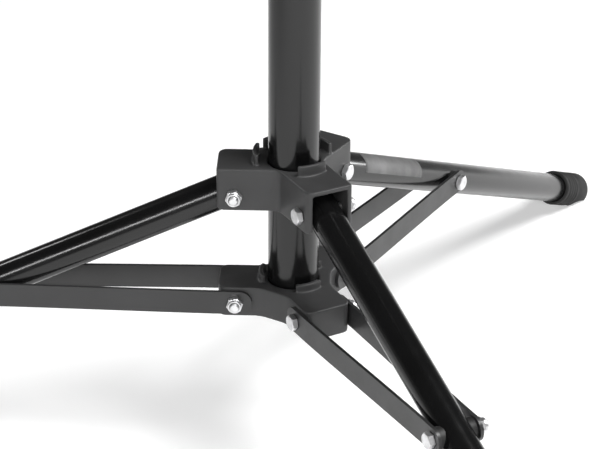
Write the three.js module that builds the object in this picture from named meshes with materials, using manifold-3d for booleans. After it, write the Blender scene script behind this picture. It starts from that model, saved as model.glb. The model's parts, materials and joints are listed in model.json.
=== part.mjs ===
// Crank lighting stand: folding three-leg base, three-section mast, hand winch and crossbar.
// Millimetres, +Z up, origin on the floor under the mast's axis. The legs stand at rest, the mast is
// wound right down, and the winch faces +X.
import * as THREE from 'three';
import { mergeVertices } from 'three/addons/utils/BufferGeometryUtils.js';
import Module from 'manifold-3d';

const wasm = await Module();
wasm.setup();

// ---- driving dimensions ---------------------------------------------------------------------
const RAD = Math.PI / 180;
const GAP = 0.3;                       // clearance kept between touching pieces
const ROUND = { large: 24, medium: 18, small: 12 };      // sides of a round piece

const ARMS = [
  { name: 'front_right', azimuth: -60 },
  { name: 'rear_right', azimuth: 60 },
  { name: 'left', azimuth: 180 },
];

const LOWER_TUBE = { r: 22.5, wall: 1.5, bottom: 137.7, top: 1450 };
const MIDDLE_TUBE = { r: 17.5, wall: 1.5, bottom: 171.3, top: 1545 };
const TOP_TUBE = { r: 14, wall: 1.5, bottom: 196.3, top: 1639 };

const LEG = {
  r: 15, wall: 1.5, pivotR: 51.4, pivotZ: 255, slope: 24.7, inner: -14, outer: 570,
  boltAt: 244, footFrom: 535, footTo: 597, footR: 18.5,
};
const BRACE = {
  pivotR: 50.9, pivotZ: 152, height: 22, thick: 3, hubFace: 22.5, legFace: 18.2,
  innerEnd: 15, outerEnd: 12, flatAtHub: 20, flatAtLeg: 16,
};
const LEG_HUB = {
  halfWidth: 21.5, endR: 66.5, corners: [9, 3], webFrom: 12.41, top: 281.5, bottom: 241.6, bore: 22.8,
  channelHalf: 16.5, channelFrom: 30, roof: 4.5, lowerCorner: 5, bossR: 9, bossEnd: 38, bossZ: 262,
};
const BRACE_HUB = {
  halfWidth: 22.2, endR: 66, corners: [9, 9], webFrom: 28.4, top: 166, bottom: 137.4, bore: 22.8,
  wall: 5, roof: 5,
};
const CREASE = 6;                      // how far the crease between two arms is blended
// Raised segments round a hub's bore, each from one azimuth to another.
const LEG_CROWN = { rOut: 36, rIn: 32.6, height: 10, spans: [[-83, -37], [24, 142], [157, 203]] };
const BRACE_CROWN = { rOut: 31, rIn: 26.6, height: 7.5, spans: [[-84, -36], [36, 84], [156, 204]] };

const M8 = { r: 4, flats: 13, head: 5.3, nut: 8, end: 2.2 };

const ROPE = { r: 1.25, x: 19.25 };    // the inner run hangs between the two larger tubes
const SHEAVE = { pitch: 20, rim: 21.2, width: 8, z: 1478 };
const SHEAVE_X = ROPE.x + SHEAVE.pitch;
const OUTER_RUN_X = SHEAVE_X + SHEAVE.pitch;

const DRUM = { core: 17, wound: 22.5, flange: 36, halfWidth: 22, flangeThick: 2.5, z: 1080 };
const DRUM_X = OUTER_RUN_X + DRUM.wound;
const GEAR = { module: 2, pressure: 25, addendum: 0.8, dedendum: 1.1, slack: 0.15, y0: 24.8, y1: 30.8 };
const GEAR_TEETH = 48;
const PINION_TEETH = 12;
const PINION_ANGLE = Math.atan2(-4, 3);       // from the drum's axle down and outwards
const CENTRES = GEAR.module * (GEAR_TEETH + PINION_TEETH) / 2;
const PINION_X = DRUM_X + CENTRES * Math.cos(PINION_ANGLE);
const PINION_Z = DRUM.z + CENTRES * Math.sin(PINION_ANGLE);

const FRAME = { x0: 22.8, plate: 3, half: 38, bottom: 985, top: 1150 };
const CLAMP = { bottom: 1030, top: 1095, wall: 4 };
const PAWL = { x: 45, z: 1138, r: 4 };
const CRANK = { length: 180, y0: 46, y1: 52, width: 24, gripR: 14, gripFrom: 54, gripTo: 160 };

const HEAD = { r: 29, bottom: 1405, cap: 1456, earY: 5, earThick: 4, earR: 10 };
const MIDDLE_COLLAR = { r: 23.5, bottom: 1505, top: 1543 };
const BAR = { side: 30, wall: 2, half: 620, bottom: 1646.3, cap: 2 };
const SOCKET = { r: 19, bottom: 1575, floor: 1640, plate: 6, length: 70, lip: 4, lipTall: 18 };

// ---- materials ------------------------------------------------------------------------------
const material = (color, roughness, metalness) =>
  new THREE.MeshStandardMaterial({ color, roughness, metalness });
const TUBE_PAINT = material(0x141415, 0.25, 0.3);
const CAST_BLACK = material(0x2c2c2d, 0.55, 0.1);
const BAR_PAINT = material(0x222223, 0.4, 0.3);
const ZINC = material(0xc9ccd0, 0.25, 1.0);
const NYLON = material(0x1b1b1c, 0.6, 0.0);
const RUBBER = material(0x101011, 0.85, 0.0);
const STEEL = material(0x8f9296, 0.35, 1.0);
const KNOB = material(0x161617, 0.45, 0.0);

// ---- solids ---------------------------------------------------------------------------------
// A closed three.js geometry as a manifold solid: only positions, shared vertices, no flat slivers.
function solid(geometry) {
  const source = geometry.clone();
  source.deleteAttribute('normal');
  source.deleteAttribute('uv');
  const merged = mergeVertices(source, 1e-4);
  const index = merged.index.array;
  const triangles = [];
  for (let i = 0; i < index.length; i += 3) {
    const [a, b, c] = [index[i], index[i + 1], index[i + 2]];
    if (a !== b && b !== c && a !== c) triangles.push(a, b, c);
  }
  const vertProperties = new Float32Array(merged.attributes.position.array);
  const triVerts = new Uint32Array(triangles);
  return new wasm.Manifold(new wasm.Mesh({ numProp: 3, vertProperties, triVerts }));
}

function geometryOf(body) {
  const mesh = body.getMesh();
  const geometry = new THREE.BufferGeometry();
  geometry.setAttribute('position', new THREE.BufferAttribute(new Float32Array(mesh.vertProperties), 3));
  geometry.setIndex(new THREE.BufferAttribute(new Uint32Array(mesh.triVerts), 1));
  return geometry;
}

const join = (...bodies) => bodies.reduce((whole, body) => whole.add(body));
const cut = (body, ...tools) => tools.reduce((rest, tool) => rest.subtract(tool), body);

// A solid of revolution about Z. The profile of [radius, z] points runs outwards along the bottom,
// up the outside and back along the top; a hollow one closes on its first point.
function turned(profile, segments = ROUND.large) {
  const points = profile.map(([r, z]) => new THREE.Vector2(r, z));
  return new THREE.LatheGeometry(points, segments).rotateX(Math.PI / 2);
}

const rod = (r, z0, z1, segments = ROUND.small) => turned([[0, z0], [r, z0], [r, z1], [0, z1]], segments);
const ring = (rIn, rOut, z0, z1, segments = ROUND.large) =>
  turned([[rIn, z0], [rOut, z0], [rOut, z1], [rIn, z1], [rIn, z0]], segments);

const alongX = (geometry) => geometry.rotateY(Math.PI / 2);      // Z becomes X
const alongY = (geometry) => geometry.rotateX(-Math.PI / 2);     // Z becomes Y

function block(x0, x1, y0, y1, z0, z1) {
  return new THREE.BoxGeometry(x1 - x0, y1 - y0, z1 - z0)
    .translate((x0 + x1) / 2, (y0 + y1) / 2, (z0 + z1) / 2);
}

function plate(shape, z0, z1, curveSegments = 8) {
  const options = { depth: z1 - z0, curveSegments, bevelEnabled: false };
  return new THREE.ExtrudeGeometry(shape, options).translate(0, 0, z0);
}

// A plate whose outline is drawn in X and Z, standing from y0 to y1.
const standingPlate = (shape, y0, y1, curveSegments = 8) =>
  plate(shape, -y1, -y0, curveSegments).rotateX(Math.PI / 2);

function polygon(points) {
  return new THREE.Shape(points.map(([x, y]) => new THREE.Vector2(x, y)));
}

// The convex outline round a set of circles [x, y, r]; a corner is a circle of no radius.
function outlineRound(circles) {
  const steps = 12;
  const cloud = [];
  for (const [x, y, r] of circles) {
    for (let i = 0; i < (r > 0 ? steps : 1); i += 1) {
      const angle = 2 * Math.PI * i / steps;
      cloud.push([x + r * Math.cos(angle), y + r * Math.sin(angle)]);
    }
  }
  cloud.sort((a, b) => a[0] - b[0] || a[1] - b[1]);
  const turn = (o, a, b) => (a[0] - o[0]) * (b[1] - o[1]) - (a[1] - o[1]) * (b[0] - o[0]);
  const halfHull = (points) => {
    const hull = [];
    for (const point of points) {
      while (hull.length > 1 && turn(hull[hull.length - 2], hull[hull.length - 1], point) <= 1e-6) hull.pop();
      hull.push(point);
    }
    return hull.slice(0, -1);
  };
  return polygon([...halfHull(cloud), ...halfHull([...cloud].reverse())]);
}

// The plan of a hub: three arms 120 degrees apart, rounded at their ends and blended between.
// An outline through [x, y, radius] corners, each rounded by a curve that starts and ends that far from it.
function roundedOutline(corners) {
  const shape = new THREE.Shape();
  corners.forEach(([x, y, r], i) => {
    const here = new THREE.Vector2(x, y);
    const towards = ([px, py]) => new THREE.Vector2(px, py).sub(here).setLength(r).add(here);
    const start = towards(corners[(i + corners.length - 1) % corners.length]);
    const end = towards(corners[(i + 1) % corners.length]);
    if (i === 0) shape.moveTo(start.x, start.y);
    else shape.lineTo(start.x, start.y);
    shape.quadraticCurveTo(x, y, end.x, end.y);
  });
  return shape;
}

// Three arms; webFrom is how far along an arm the web to the next arm starts.
function threeArmPlan({ halfWidth, endR, corners: [before, after], webFrom }) {
  const outline = [];
  for (const { azimuth } of ARMS) {
    const a = azimuth * RAD;
    const put = (x, y, r) => {
      outline.push([x * Math.cos(a) - y * Math.sin(a), x * Math.sin(a) + y * Math.cos(a), r]);
    };
    const meets = webFrom < 1.01 * halfWidth / Math.tan(60 * RAD);
    if (!meets) put(webFrom, -halfWidth, CREASE);
    put(endR, -halfWidth, before);
    put(endR, halfWidth, after);
    put(webFrom, halfWidth, CREASE);
  }
  return roundedOutline(outline);
}

function sector(rIn, rOut, from, to) {
  const shape = new THREE.Shape();
  shape.absarc(0, 0, rOut, from * RAD, to * RAD, false);
  shape.absarc(0, 0, rIn, to * RAD, from * RAD, true);
  return shape;
}

const aroundZ = (body, azimuth) => body.rotate([0, 0, azimuth]);
const onEachArm = (make) => ARMS.map(({ azimuth }) => aroundZ(make(), azimuth));

// ---- the object's tree ----------------------------------------------------------------------
const stand = new THREE.Group();

function add(parent, name, shape, look) {
  const geometry = shape.isBufferGeometry ? geometryOf(solid(shape)) : geometryOf(shape);
  const mesh = new THREE.Mesh(geometry, look);
  mesh.name = name;
  parent.add(mesh);
  return mesh;
}

function groupAt(parent, x, y, z, azimuth = 0) {
  const group = new THREE.Group();
  group.position.set(x, y, z);
  group.rotation.z = azimuth * RAD;
  parent.add(group);
  return group;
}

// ---- hubs -----------------------------------------------------------------------------------
function crown({ rOut, rIn, height, spans }, top) {
  return spans.map(([from, to]) => solid(plate(sector(rIn, rOut, from, to), top - 1, top + height, 6)));
}

// Rounds off the lower outer corner of one arm, seen from its side.
function lowerCornerTool({ endR, bottom, lowerCorner }) {
  const spare = 2;
  const shape = new THREE.Shape();
  shape.moveTo(endR - lowerCorner, bottom - spare);
  shape.lineTo(endR + spare, bottom - spare);
  shape.lineTo(endR + spare, bottom + lowerCorner);
  shape.absarc(endR - lowerCorner, bottom + lowerCorner, lowerCorner, 0, -Math.PI / 2, true);
  return solid(standingPlate(shape, -30, 30, 3));
}

function makeLegHub() {
  const { top, bottom, bore, channelHalf, channelFrom, roof, endR, bossR, bossEnd, bossZ } = LEG_HUB;
  const body = solid(plate(threeArmPlan(LEG_HUB), bottom, top, 4));
  const bossAlongX = alongX(rod(bossR, bore + 1, bossEnd, ROUND.medium)).translate(0, 0, bossZ);
  const boss = aroundZ(solid(bossAlongX), 120);
  const channel = () => cut(
    solid(block(0, endR + 5, -channelHalf, channelHalf, bottom - 5, top - roof)),
    solid(rod(channelFrom, bottom - 6, top, ROUND.large)),
  );
  const pivotHole = () => solid(alongY(rod(M8.r + GAP, -30, 30)).translate(LEG.pivotR, 0, LEG.pivotZ));
  const screwHole = aroundZ(solid(alongX(rod(4 + GAP, 15, bossEnd + 2)).translate(0, 0, bossZ)), 120);
  return cut(
    join(body, boss, ...crown(LEG_CROWN, top)),
    ...onEachArm(channel), ...onEachArm(pivotHole), ...onEachArm(() => lowerCornerTool(LEG_HUB)),
    solid(rod(bore, bottom - 1, top + 20, ROUND.large)), screwHole,
  );
}

function makeBraceHub() {
  const { top, bottom, bore, wall, roof, endR, halfWidth } = BRACE_HUB;
  const body = solid(plate(threeArmPlan(BRACE_HUB), bottom, top, 4));
  const pocket = () => cut(
    solid(block(0, endR - wall, wall - halfWidth, halfWidth - wall, bottom - 5, top - roof)),
    solid(rod(bore + 5.2, bottom - 6, top, ROUND.large)),
  );
  const pivotHole = () => solid(alongY(rod(M8.r + GAP, -30, 30)).translate(BRACE.pivotR, 0, BRACE.pivotZ));
  return cut(
    join(body, ...crown(BRACE_CROWN, top)),
    ...onEachArm(pocket), ...onEachArm(pivotHole), solid(rod(bore, bottom - 1, top + 20, ROUND.large)),
  );
}

// ---- fasteners ------------------------------------------------------------------------------
const hexagon = (flats, z0, z1) => rod(flats / Math.sqrt(3), z0, z1, 6);

// A bolt along Y through a stack from -half to +half, hex head on the -Y side, lock nut on the +Y side.
function throughBolt(half) {
  const { r, flats, head, nut, end } = M8;
  return join(
    solid(alongY(rod(r, -half - 1, half + nut + end))),
    solid(alongY(hexagon(flats, -half - head, -half))),
    solid(alongY(hexagon(flats, half, half + nut))),
  );
}

// The outer ends of the bolt that joins a brace pair to its leg; each stays with its brace bar.
function boltHeadEnd(inner, outer) {
  return join(
    solid(alongY(rod(M8.r, -outer - 1, -inner))),
    solid(alongY(hexagon(M8.flats, -outer - M8.head, -outer))),
  );
}

function boltNutEnd(inner, outer) {
  return join(
    solid(alongY(rod(M8.r, inner, outer + M8.nut + M8.end))),
    solid(alongY(hexagon(M8.flats, outer, outer + M8.nut))),
  );
}

// A lobed knob on a screw, pointing along +X; the screw's tip is at tipX.
function lobedKnob(tipX, seatX, length, radius, lobes = 5) {
  const depth = radius * 0.12;
  const outline = [];
  const steps = lobes * 5;
  for (let i = 0; i < steps; i += 1) {
    const angle = 2 * Math.PI * i / steps;
    const r = radius - depth + depth * Math.cos(lobes * angle);
    outline.push([r * Math.cos(angle), r * Math.sin(angle)]);
  }
  const grip = alongX(plate(polygon(outline), seatX + 4, seatX + length));
  return join(
    solid(grip),
    solid(alongX(rod(radius * 0.6, seatX, seatX + 5, ROUND.medium))),
    solid(alongX(rod(4, tipX, seatX + 1))),
  );
}

// ---- legs and braces ------------------------------------------------------------------------
const slopeTurn = new THREE.Matrix4().makeRotationY(LEG.slope * RAD);
const legPlace = new THREE.Matrix4().makeTranslation(LEG.pivotR, 0, LEG.pivotZ).multiply(slopeTurn);

// The bolt that joins the braces to the leg, in the arm's own frame.
const legBolt = new THREE.Vector3(LEG.boltAt, 0, 0).applyMatrix4(legPlace);
const braceRun = legBolt.x - BRACE.pivotR;
const braceRise = legBolt.z - BRACE.pivotZ;
const braceLength = Math.hypot(braceRun, braceRise);
const braceSlope = Math.atan2(braceRise, braceRun);

function makeLegTube() {
  const { r, wall, inner, outer, boltAt } = LEG;
  const tube = solid(alongX(ring(r - wall, r, inner, outer, ROUND.medium)));
  const pivotHole = solid(alongY(rod(M8.r + GAP, -20, 20)));
  const spacerHole = solid(alongY(rod(6 + GAP, -20, 20)).translate(boltAt, 0, 0));
  return geometryOf(cut(tube, pivotHole, spacerHole)).applyMatrix4(legPlace);
}

// A rubber boot over the leg's end, cut flat where it stands on the floor.
function makeLegFoot() {
  const { r, outer, footFrom, footTo, footR } = LEG;
  const boot = turned([[0, footFrom], [footR - 2, footFrom], [footR, footFrom + 3], [footR, footTo - 5],
    [footR - 5, footTo], [0, footTo]], ROUND.medium);
  const socket = rod(r + GAP, footFrom - 1, outer + GAP, ROUND.medium);
  const body = cut(solid(alongX(boot)), solid(alongX(socket)));
  const placed = solid(geometryOf(body).applyMatrix4(legPlace));
  return cut(placed, solid(block(300, 900, -50, 50, -60, 0)));
}

// A sleeve through the leg with a saddle against each side of the tube, for the braces' bolt.
function makeBraceSpacer() {
  const reach = BRACE.legFace - GAP;
  const saddles = cut(
    solid(alongY(rod(9.5, -reach, reach, ROUND.medium))),
    solid(alongX(rod(LEG.r + GAP, -40, 40, ROUND.medium))),
  );
  const sleeve = solid(alongY(rod(6, -reach, reach)));
  return geometryOf(join(saddles, sleeve)).translate(LEG.boltAt, 0, 0).applyMatrix4(legPlace);
}

// One flat brace bar on the +Y side: flat at both ends, set in towards the leg between them.
function makeBraceBar() {
  const { height, thick, hubFace, legFace, innerEnd, outerEnd, flatAtHub, flatAtLeg } = BRACE;
  const x0 = -innerEnd - 1;
  const x1 = braceLength + outerEnd + 1;
  const bendA = flatAtHub;
  const bendB = braceLength - flatAtLeg;
  const run = polygon([
    [x0, hubFace], [bendA, hubFace], [bendB, legFace], [x1, legFace],
    [x1, legFace + thick], [bendB, legFace + thick], [bendA, hubFace + thick], [x0, hubFace + thick],
  ]);
  const half = height / 2;
  const face = new THREE.Shape();
  face.absarc(innerEnd * -1 + half, 0, half, 0.5 * Math.PI, 1.5 * Math.PI, false);
  face.absarc(braceLength + outerEnd - half, 0, half, -0.5 * Math.PI, 0.5 * Math.PI, false);
  const hole = (x) => solid(alongY(rod(M8.r + GAP, 0, 40)).translate(x, 0, 0));
  return cut(
    solid(plate(run, -half - 1, half + 1)).intersect(solid(standingPlate(face, 0, 40, 8))),
    hole(0), hole(braceLength),
  );
}

function placeBrace(geometry) {
  return geometry.rotateY(-braceSlope).translate(BRACE.pivotR, 0, BRACE.pivotZ);
}

function buildBase() {
  add(stand, 'brace_hub', makeBraceHub(), CAST_BLACK);
  add(stand, 'leg_hub', makeLegHub(), CAST_BLACK);

  const knob = groupAt(stand, 0, 0, LEG_HUB.bossZ, 120);
  add(knob, 'hub_lock_knob', lobedKnob(LOWER_TUBE.r + GAP, LEG_HUB.bossEnd + GAP, 18, 12), KNOB);

  const bar = makeBraceBar();
  const farBar = bar.mirror([0, 1, 0]);
  const inner = BRACE.legFace;
  const outer = BRACE.legFace + BRACE.thick + GAP;
  for (const { name, azimuth } of ARMS) {
    const arm = groupAt(stand, 0, 0, 0, azimuth);
    add(arm, `leg_tube_${name}`, makeLegTube(), TUBE_PAINT);
    add(arm, `leg_foot_${name}`, makeLegFoot(), RUBBER);
    add(arm, `brace_spacer_${name}`, makeBraceSpacer(), NYLON);
    const pivot = geometryOf(throughBolt(LEG_HUB.halfWidth + GAP)).translate(LEG.pivotR, 0, LEG.pivotZ);
    add(arm, `leg_pivot_bolt_${name}`, pivot, ZINC);
    const lower = geometryOf(throughBolt(BRACE.hubFace + BRACE.thick + GAP));
    add(arm, `brace_pivot_bolt_${name}`, lower.translate(BRACE.pivotR, 0, BRACE.pivotZ), ZINC);
    add(arm, `brace_bar_${name}_a`, placeBrace(geometryOf(farBar)), BAR_PAINT);
    add(arm, `brace_bar_${name}_b`, placeBrace(geometryOf(bar)), BAR_PAINT);
    const atLegBolt = (body) => placeBrace(geometryOf(body).translate(braceLength, 0, 0));
    add(arm, `brace_end_bolt_${name}`, atLegBolt(boltHeadEnd(inner, outer)), ZINC);
    add(arm, `brace_end_nut_${name}`, atLegBolt(boltNutEnd(inner, outer)), ZINC);
  }
}

// ---- mast -----------------------------------------------------------------------------------
const tube = ({ r, wall, bottom, top }) => ring(r - wall, r, bottom, top);

// A cup under a sliding tube that guides it inside the next larger one.
function slidingFoot(inside, slider, depth) {
  const { r, bottom } = slider;
  const rim = inside.r - inside.wall - GAP;
  const floor = bottom - GAP;
  return turned([[0, floor - 6], [rim, floor - 6], [rim, floor + depth], [r + GAP, floor + depth],
    [r + GAP, floor], [0, floor]], ROUND.medium);
}

function makeMastHead() {
  const { r, bottom, cap, earY, earThick, earR } = HEAD;
  const shell = turned([[LOWER_TUBE.r + GAP, bottom], [r, bottom], [r, cap - 2], [r - 2, cap],
    [MIDDLE_TUBE.r + 0.7, cap], [MIDDLE_TUBE.r + 0.7, LOWER_TUBE.top + GAP],
    [LOWER_TUBE.r + GAP, LOWER_TUBE.top + GAP], [LOWER_TUBE.r + GAP, bottom]]);
  const earCorners = [[26, bottom + 6, 0], [26, cap, 0], [36, cap - 22, 4]];
  const earShape = outlineRound([[SHEAVE_X, SHEAVE.z, earR], ...earCorners]);
  const ears = [earY, -earY - earThick].map((y) => solid(standingPlate(earShape, y, y + earThick)));
  const web = solid(block(25, 34, -earY - 1, earY + 1, bottom + 8, cap - 16));
  const boss = solid(alongX(rod(9, -44, -25, ROUND.medium)).translate(0, 0, bottom + 22));
  const pinHole = solid(alongY(rod(5 + GAP, -15, 15)).translate(SHEAVE_X, 0, SHEAVE.z));
  const ropeSlot = solid(block(15, 25, -3, 3, LOWER_TUBE.top - 1, cap + 5));
  const screwHole = solid(alongX(rod(4 + GAP, -50, -15)).translate(0, 0, bottom + 22));
  return cut(join(solid(shell), ...ears, web, boss), pinHole, ropeSlot, screwHole);
}

function makeHeadBush() {
  const { r, wall, top } = LOWER_TUBE;
  const bush = ring(MIDDLE_TUBE.r + GAP, r - wall - GAP, top - 34, top - GAP);
  const screwHole = solid(alongX(rod(4.6, -30, -10)).translate(0, 0, HEAD.bottom + 22));
  return cut(solid(bush), solid(block(15, 25, -2.6, 2.6, top - 40, top + 5)), screwHole);
}

function makeMiddleCollar() {
  const { r, bottom, top } = MIDDLE_COLLAR;
  const bore = MIDDLE_TUBE.r + GAP;
  const lid = TOP_TUBE.r + GAP;
  const shell = turned([[bore, bottom], [r, bottom], [r, top + 5], [r - 2, top + 7], [lid, top + 7],
    [lid, MIDDLE_TUBE.top + GAP], [bore, MIDDLE_TUBE.top + GAP], [bore, bottom]]);
  const boss = solid(alongX(rod(8, -36, -20, ROUND.medium)).translate(0, 0, bottom + 18));
  const screwHole = solid(alongX(rod(4 + GAP, -40, -10)).translate(0, 0, bottom + 18));
  return cut(join(solid(shell), boss), screwHole);
}

function makeSheave() {
  const { pitch, rim, width } = SHEAVE;
  const half = width / 2;
  const groove = pitch - ROPE.r - 3 * GAP;
  const wheel = turned([[5 + GAP, -half], [rim, -half], [rim, -half + 1.2], [groove, -1.8], [groove, 1.8],
    [rim, half - 1.2], [rim, half], [5 + GAP, half], [5 + GAP, -half]], ROUND.medium);
  return alongY(wheel);
}

function buildMast() {
  const screwHole = solid(alongX(rod(4.6, -30, -10)).translate(0, 0, HEAD.bottom + 22));
  add(stand, 'mast_lower_tube', cut(solid(tube(LOWER_TUBE)), screwHole), TUBE_PAINT);
  const plug = turned([[0, LOWER_TUBE.bottom - 3.7], [LOWER_TUBE.r, LOWER_TUBE.bottom - 3.7],
    [LOWER_TUBE.r, LOWER_TUBE.bottom - GAP], [20.7, LOWER_TUBE.bottom - GAP], [20.7, 158], [17, 158],
    [17, LOWER_TUBE.bottom], [0, LOWER_TUBE.bottom]]);
  add(stand, 'mast_bottom_plug', plug, NYLON);
  add(stand, 'mast_head', makeMastHead(), CAST_BLACK);
  add(stand, 'mast_head_bush', makeHeadBush(), NYLON);
  add(groupAt(stand, 0, 0, HEAD.bottom + 22, 180), 'mast_lock_knob',
    lobedKnob(MIDDLE_TUBE.r + 0.6, 44 + GAP, 26, 20), KNOB);

  const collarScrew = MIDDLE_COLLAR.bottom + 18;
  const middleHole = solid(alongX(rod(4.6, -30, -10)).translate(0, 0, collarScrew));
  add(stand, 'middle_tube', cut(solid(tube(MIDDLE_TUBE)), middleHole), TUBE_PAINT);
  add(stand, 'middle_tube_foot', slidingFoot(LOWER_TUBE, MIDDLE_TUBE, 20), NYLON);
  add(stand, 'middle_collar', makeMiddleCollar(), CAST_BLACK);
  add(groupAt(stand, 0, 0, collarScrew, 180), 'middle_lock_knob',
    lobedKnob(TOP_TUBE.r + 0.6, 36 + GAP, 24, 17), KNOB);

  add(stand, 'top_tube', tube(TOP_TUBE), TUBE_PAINT);
  add(stand, 'top_tube_foot', slidingFoot(MIDDLE_TUBE, TOP_TUBE, 20), NYLON);

  const sheave = groupAt(stand, SHEAVE_X, 0, SHEAVE.z);
  add(sheave, 'rope_sheave', makeSheave(), STEEL);
  const pin = join(solid(alongY(rod(5, -10.5, 12))), solid(alongY(rod(8, -12.5, -9.4))));
  add(sheave, 'sheave_pin', pin, ZINC);
}

// ---- winch ----------------------------------------------------------------------------------
// An involute gear's outline, with one tooth centred on the given angle.
function gearOutline(teeth, toothAt, steps) {
  const { module, pressure, addendum, dedendum, slack } = GEAR;
  const pitch = module * teeth / 2;
  const base = pitch * Math.cos(pressure * RAD);
  const tip = pitch + addendum * module;
  const root = pitch - dedendum * module;
  const involute = (r) => {
    const angle = Math.acos(Math.min(1, base / r));
    return Math.tan(angle) - angle;
  };
  const halfAtPitch = Math.PI / (2 * teeth) - slack / pitch;
  const halfAt = (r) => halfAtPitch + involute(pitch) - involute(r);
  const from = Math.max(base, root);
  const outline = [];
  const put = (r, angle) => outline.push([r * Math.cos(angle), r * Math.sin(angle)]);
  for (let tooth = 0; tooth < teeth; tooth += 1) {
    const centre = toothAt + 2 * Math.PI * tooth / teeth;
    if (root < from) put(root, centre - halfAt(from));
    for (let i = 0; i <= steps; i += 1) {
      const r = from + (tip - from) * i / steps;
      put(r, centre - halfAt(r));
    }
    for (let i = steps; i >= 0; i -= 1) {
      const r = from + (tip - from) * i / steps;
      put(r, centre + halfAt(r));
    }
    if (root < from) put(root, centre + halfAt(from));
  }
  return polygon(outline);
}

function makeWinchFrame() {
  const { x0, plate: thick, half, bottom, top } = FRAME;
  const side = outlineRound([[x0 + 2, bottom, 2], [x0 + 2, top, 2], [DRUM_X, DRUM.z, 20],
    [PINION_X, PINION_Z, 17], [PAWL.x, PAWL.z, 12]]);
  const sides = [half - thick, -half].map((y) => solid(standingPlate(side, y, y + thick)));
  const back = solid(block(x0, x0 + thick, -half, half, bottom, top));
  const across = (r, x, z) => solid(alongY(rod(r, -half - 5, half + 5)).translate(x, 0, z));
  return cut(
    join(back, ...sides),
    across(6 + GAP, DRUM_X, DRUM.z),
    across(7 + GAP, PINION_X, PINION_Z),
    across(PAWL.r + GAP, PAWL.x, PAWL.z),
  );
}

// The half clamp round the back of the mast, with an ear each side against the winch's back plate.
function makeWinchClamp() {
  const { bottom, top, wall } = CLAMP;
  const inner = LOWER_TUBE.r + GAP;
  const earX = FRAME.x0 - GAP;
  const earShape = polygon([[earX - wall, -FRAME.half], [earX, -FRAME.half], [earX, FRAME.half],
    [earX - wall, FRAME.half]]);
  const bow = plate(sector(inner, inner + wall, 35, 325), bottom, top, 14);
  const bore = rod(inner, bottom - 1, top + 1, ROUND.large);
  return cut(join(solid(bow), solid(plate(earShape, bottom, top))), solid(bore));
}

function makeDrum() {
  const { core, flange, halfWidth, flangeThick } = DRUM;
  const outer = halfWidth + flangeThick;
  const bore = 6 + GAP;
  return alongY(turned([[bore, -outer], [flange, -outer], [flange, -halfWidth], [core, -halfWidth],
    [core, halfWidth], [flange, halfWidth], [flange, outer], [bore, outer], [bore, -outer]], ROUND.medium));
}

function makeDrumGear() {
  const toothAt = PINION_ANGLE;
  const gear = standingPlate(gearOutline(GEAR_TEETH, toothAt, 1), GEAR.y0, GEAR.y1);
  return cut(solid(gear), solid(alongY(rod(6 + GAP, 0, 50))));
}

function makePinionShaft() {
  const toothAt = PINION_ANGLE + Math.PI + Math.PI / PINION_TEETH;
  const pinion = standingPlate(gearOutline(PINION_TEETH, toothAt, 2), GEAR.y0 - 1, GEAR.y1 + 1);
  return join(solid(pinion), solid(alongY(rod(7, -FRAME.half - 4, CRANK.y1 + 8, ROUND.medium))));
}

function makeCrankArm() {
  const { length, y0, y1, width, gripTo } = CRANK;
  const arm = outlineRound([[0, 0, width / 2], [0, -length, width / 2 - 2]]);
  const boss = solid(alongY(rod(13, y0 - 4, y1 + 2, ROUND.medium)));
  const spindle = solid(alongY(rod(5, y0 + 1, gripTo + 3)).translate(0, 0, -length));
  const spindleHead = solid(alongY(rod(8, gripTo + GAP, gripTo + 4)).translate(0, 0, -length));
  const bore = solid(alongY(rod(7 + GAP, y0 - 10, y1 + 10, ROUND.medium)));
  return cut(join(solid(standingPlate(arm, y0, y1)), boss, spindle, spindleHead), bore);
}

function makeCrankGrip() {
  const { gripR, gripFrom, gripTo } = CRANK;
  const bore = 5 + GAP;
  const middle = (gripFrom + gripTo) / 2;
  const profile = [[bore, gripFrom], [gripR - 3, gripFrom], [gripR - 1, gripFrom + 4], [gripR, middle],
    [gripR - 1, gripTo - 6], [gripR - 4, gripTo], [bore, gripTo], [bore, gripFrom]];
  return alongY(turned(profile, ROUND.medium)).translate(0, 0, -CRANK.length);
}

// The pawl's nose stops just above the gear's tips, so the drum turns freely past it.
function makePawl() {
  const nose = outlineRound([[0, 0, 8], [28, -6.2, 2.2]]);
  const body = solid(standingPlate(nose, GEAR.y0, GEAR.y1));
  const pin = solid(alongY(rod(PAWL.r, GEAR.y0 + 1, FRAME.half + 4)));
  const lever = solid(standingPlate(outlineRound([[0, 0, 7], [-4, 26, 5]]), FRAME.half + 1, FRAME.half + 4));
  return join(body, pin, lever);
}

// The rope from the drum up to the sheave, then half way round it.
function makeOuterRope() {
  const steps = 14;
  const sides = 8;
  const points = [];
  for (let i = 0; i <= steps; i += 1) {
    const angle = Math.PI * i / steps;
    const [x, z] = [SHEAVE.pitch * Math.cos(angle), SHEAVE.pitch * Math.sin(angle)];
    points.push(new THREE.Vector3(SHEAVE_X + x, 0, SHEAVE.z + z));
  }
  const section = [];
  for (let i = 0; i < sides; i += 1) {
    const angle = 2 * Math.PI * i / sides;
    section.push([ROPE.r * Math.cos(angle), ROPE.r * Math.sin(angle)]);
  }
  const extrudePath = new THREE.CatmullRomCurve3(points, false, 'centripetal');
  const wrap = new THREE.ExtrudeGeometry(polygon(section), { steps, extrudePath });
  const run = rod(ROPE.r, DRUM.z, SHEAVE.z + 1, sides).translate(OUTER_RUN_X, 0, 0);
  return join(solid(wrap), solid(run));
}

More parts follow.
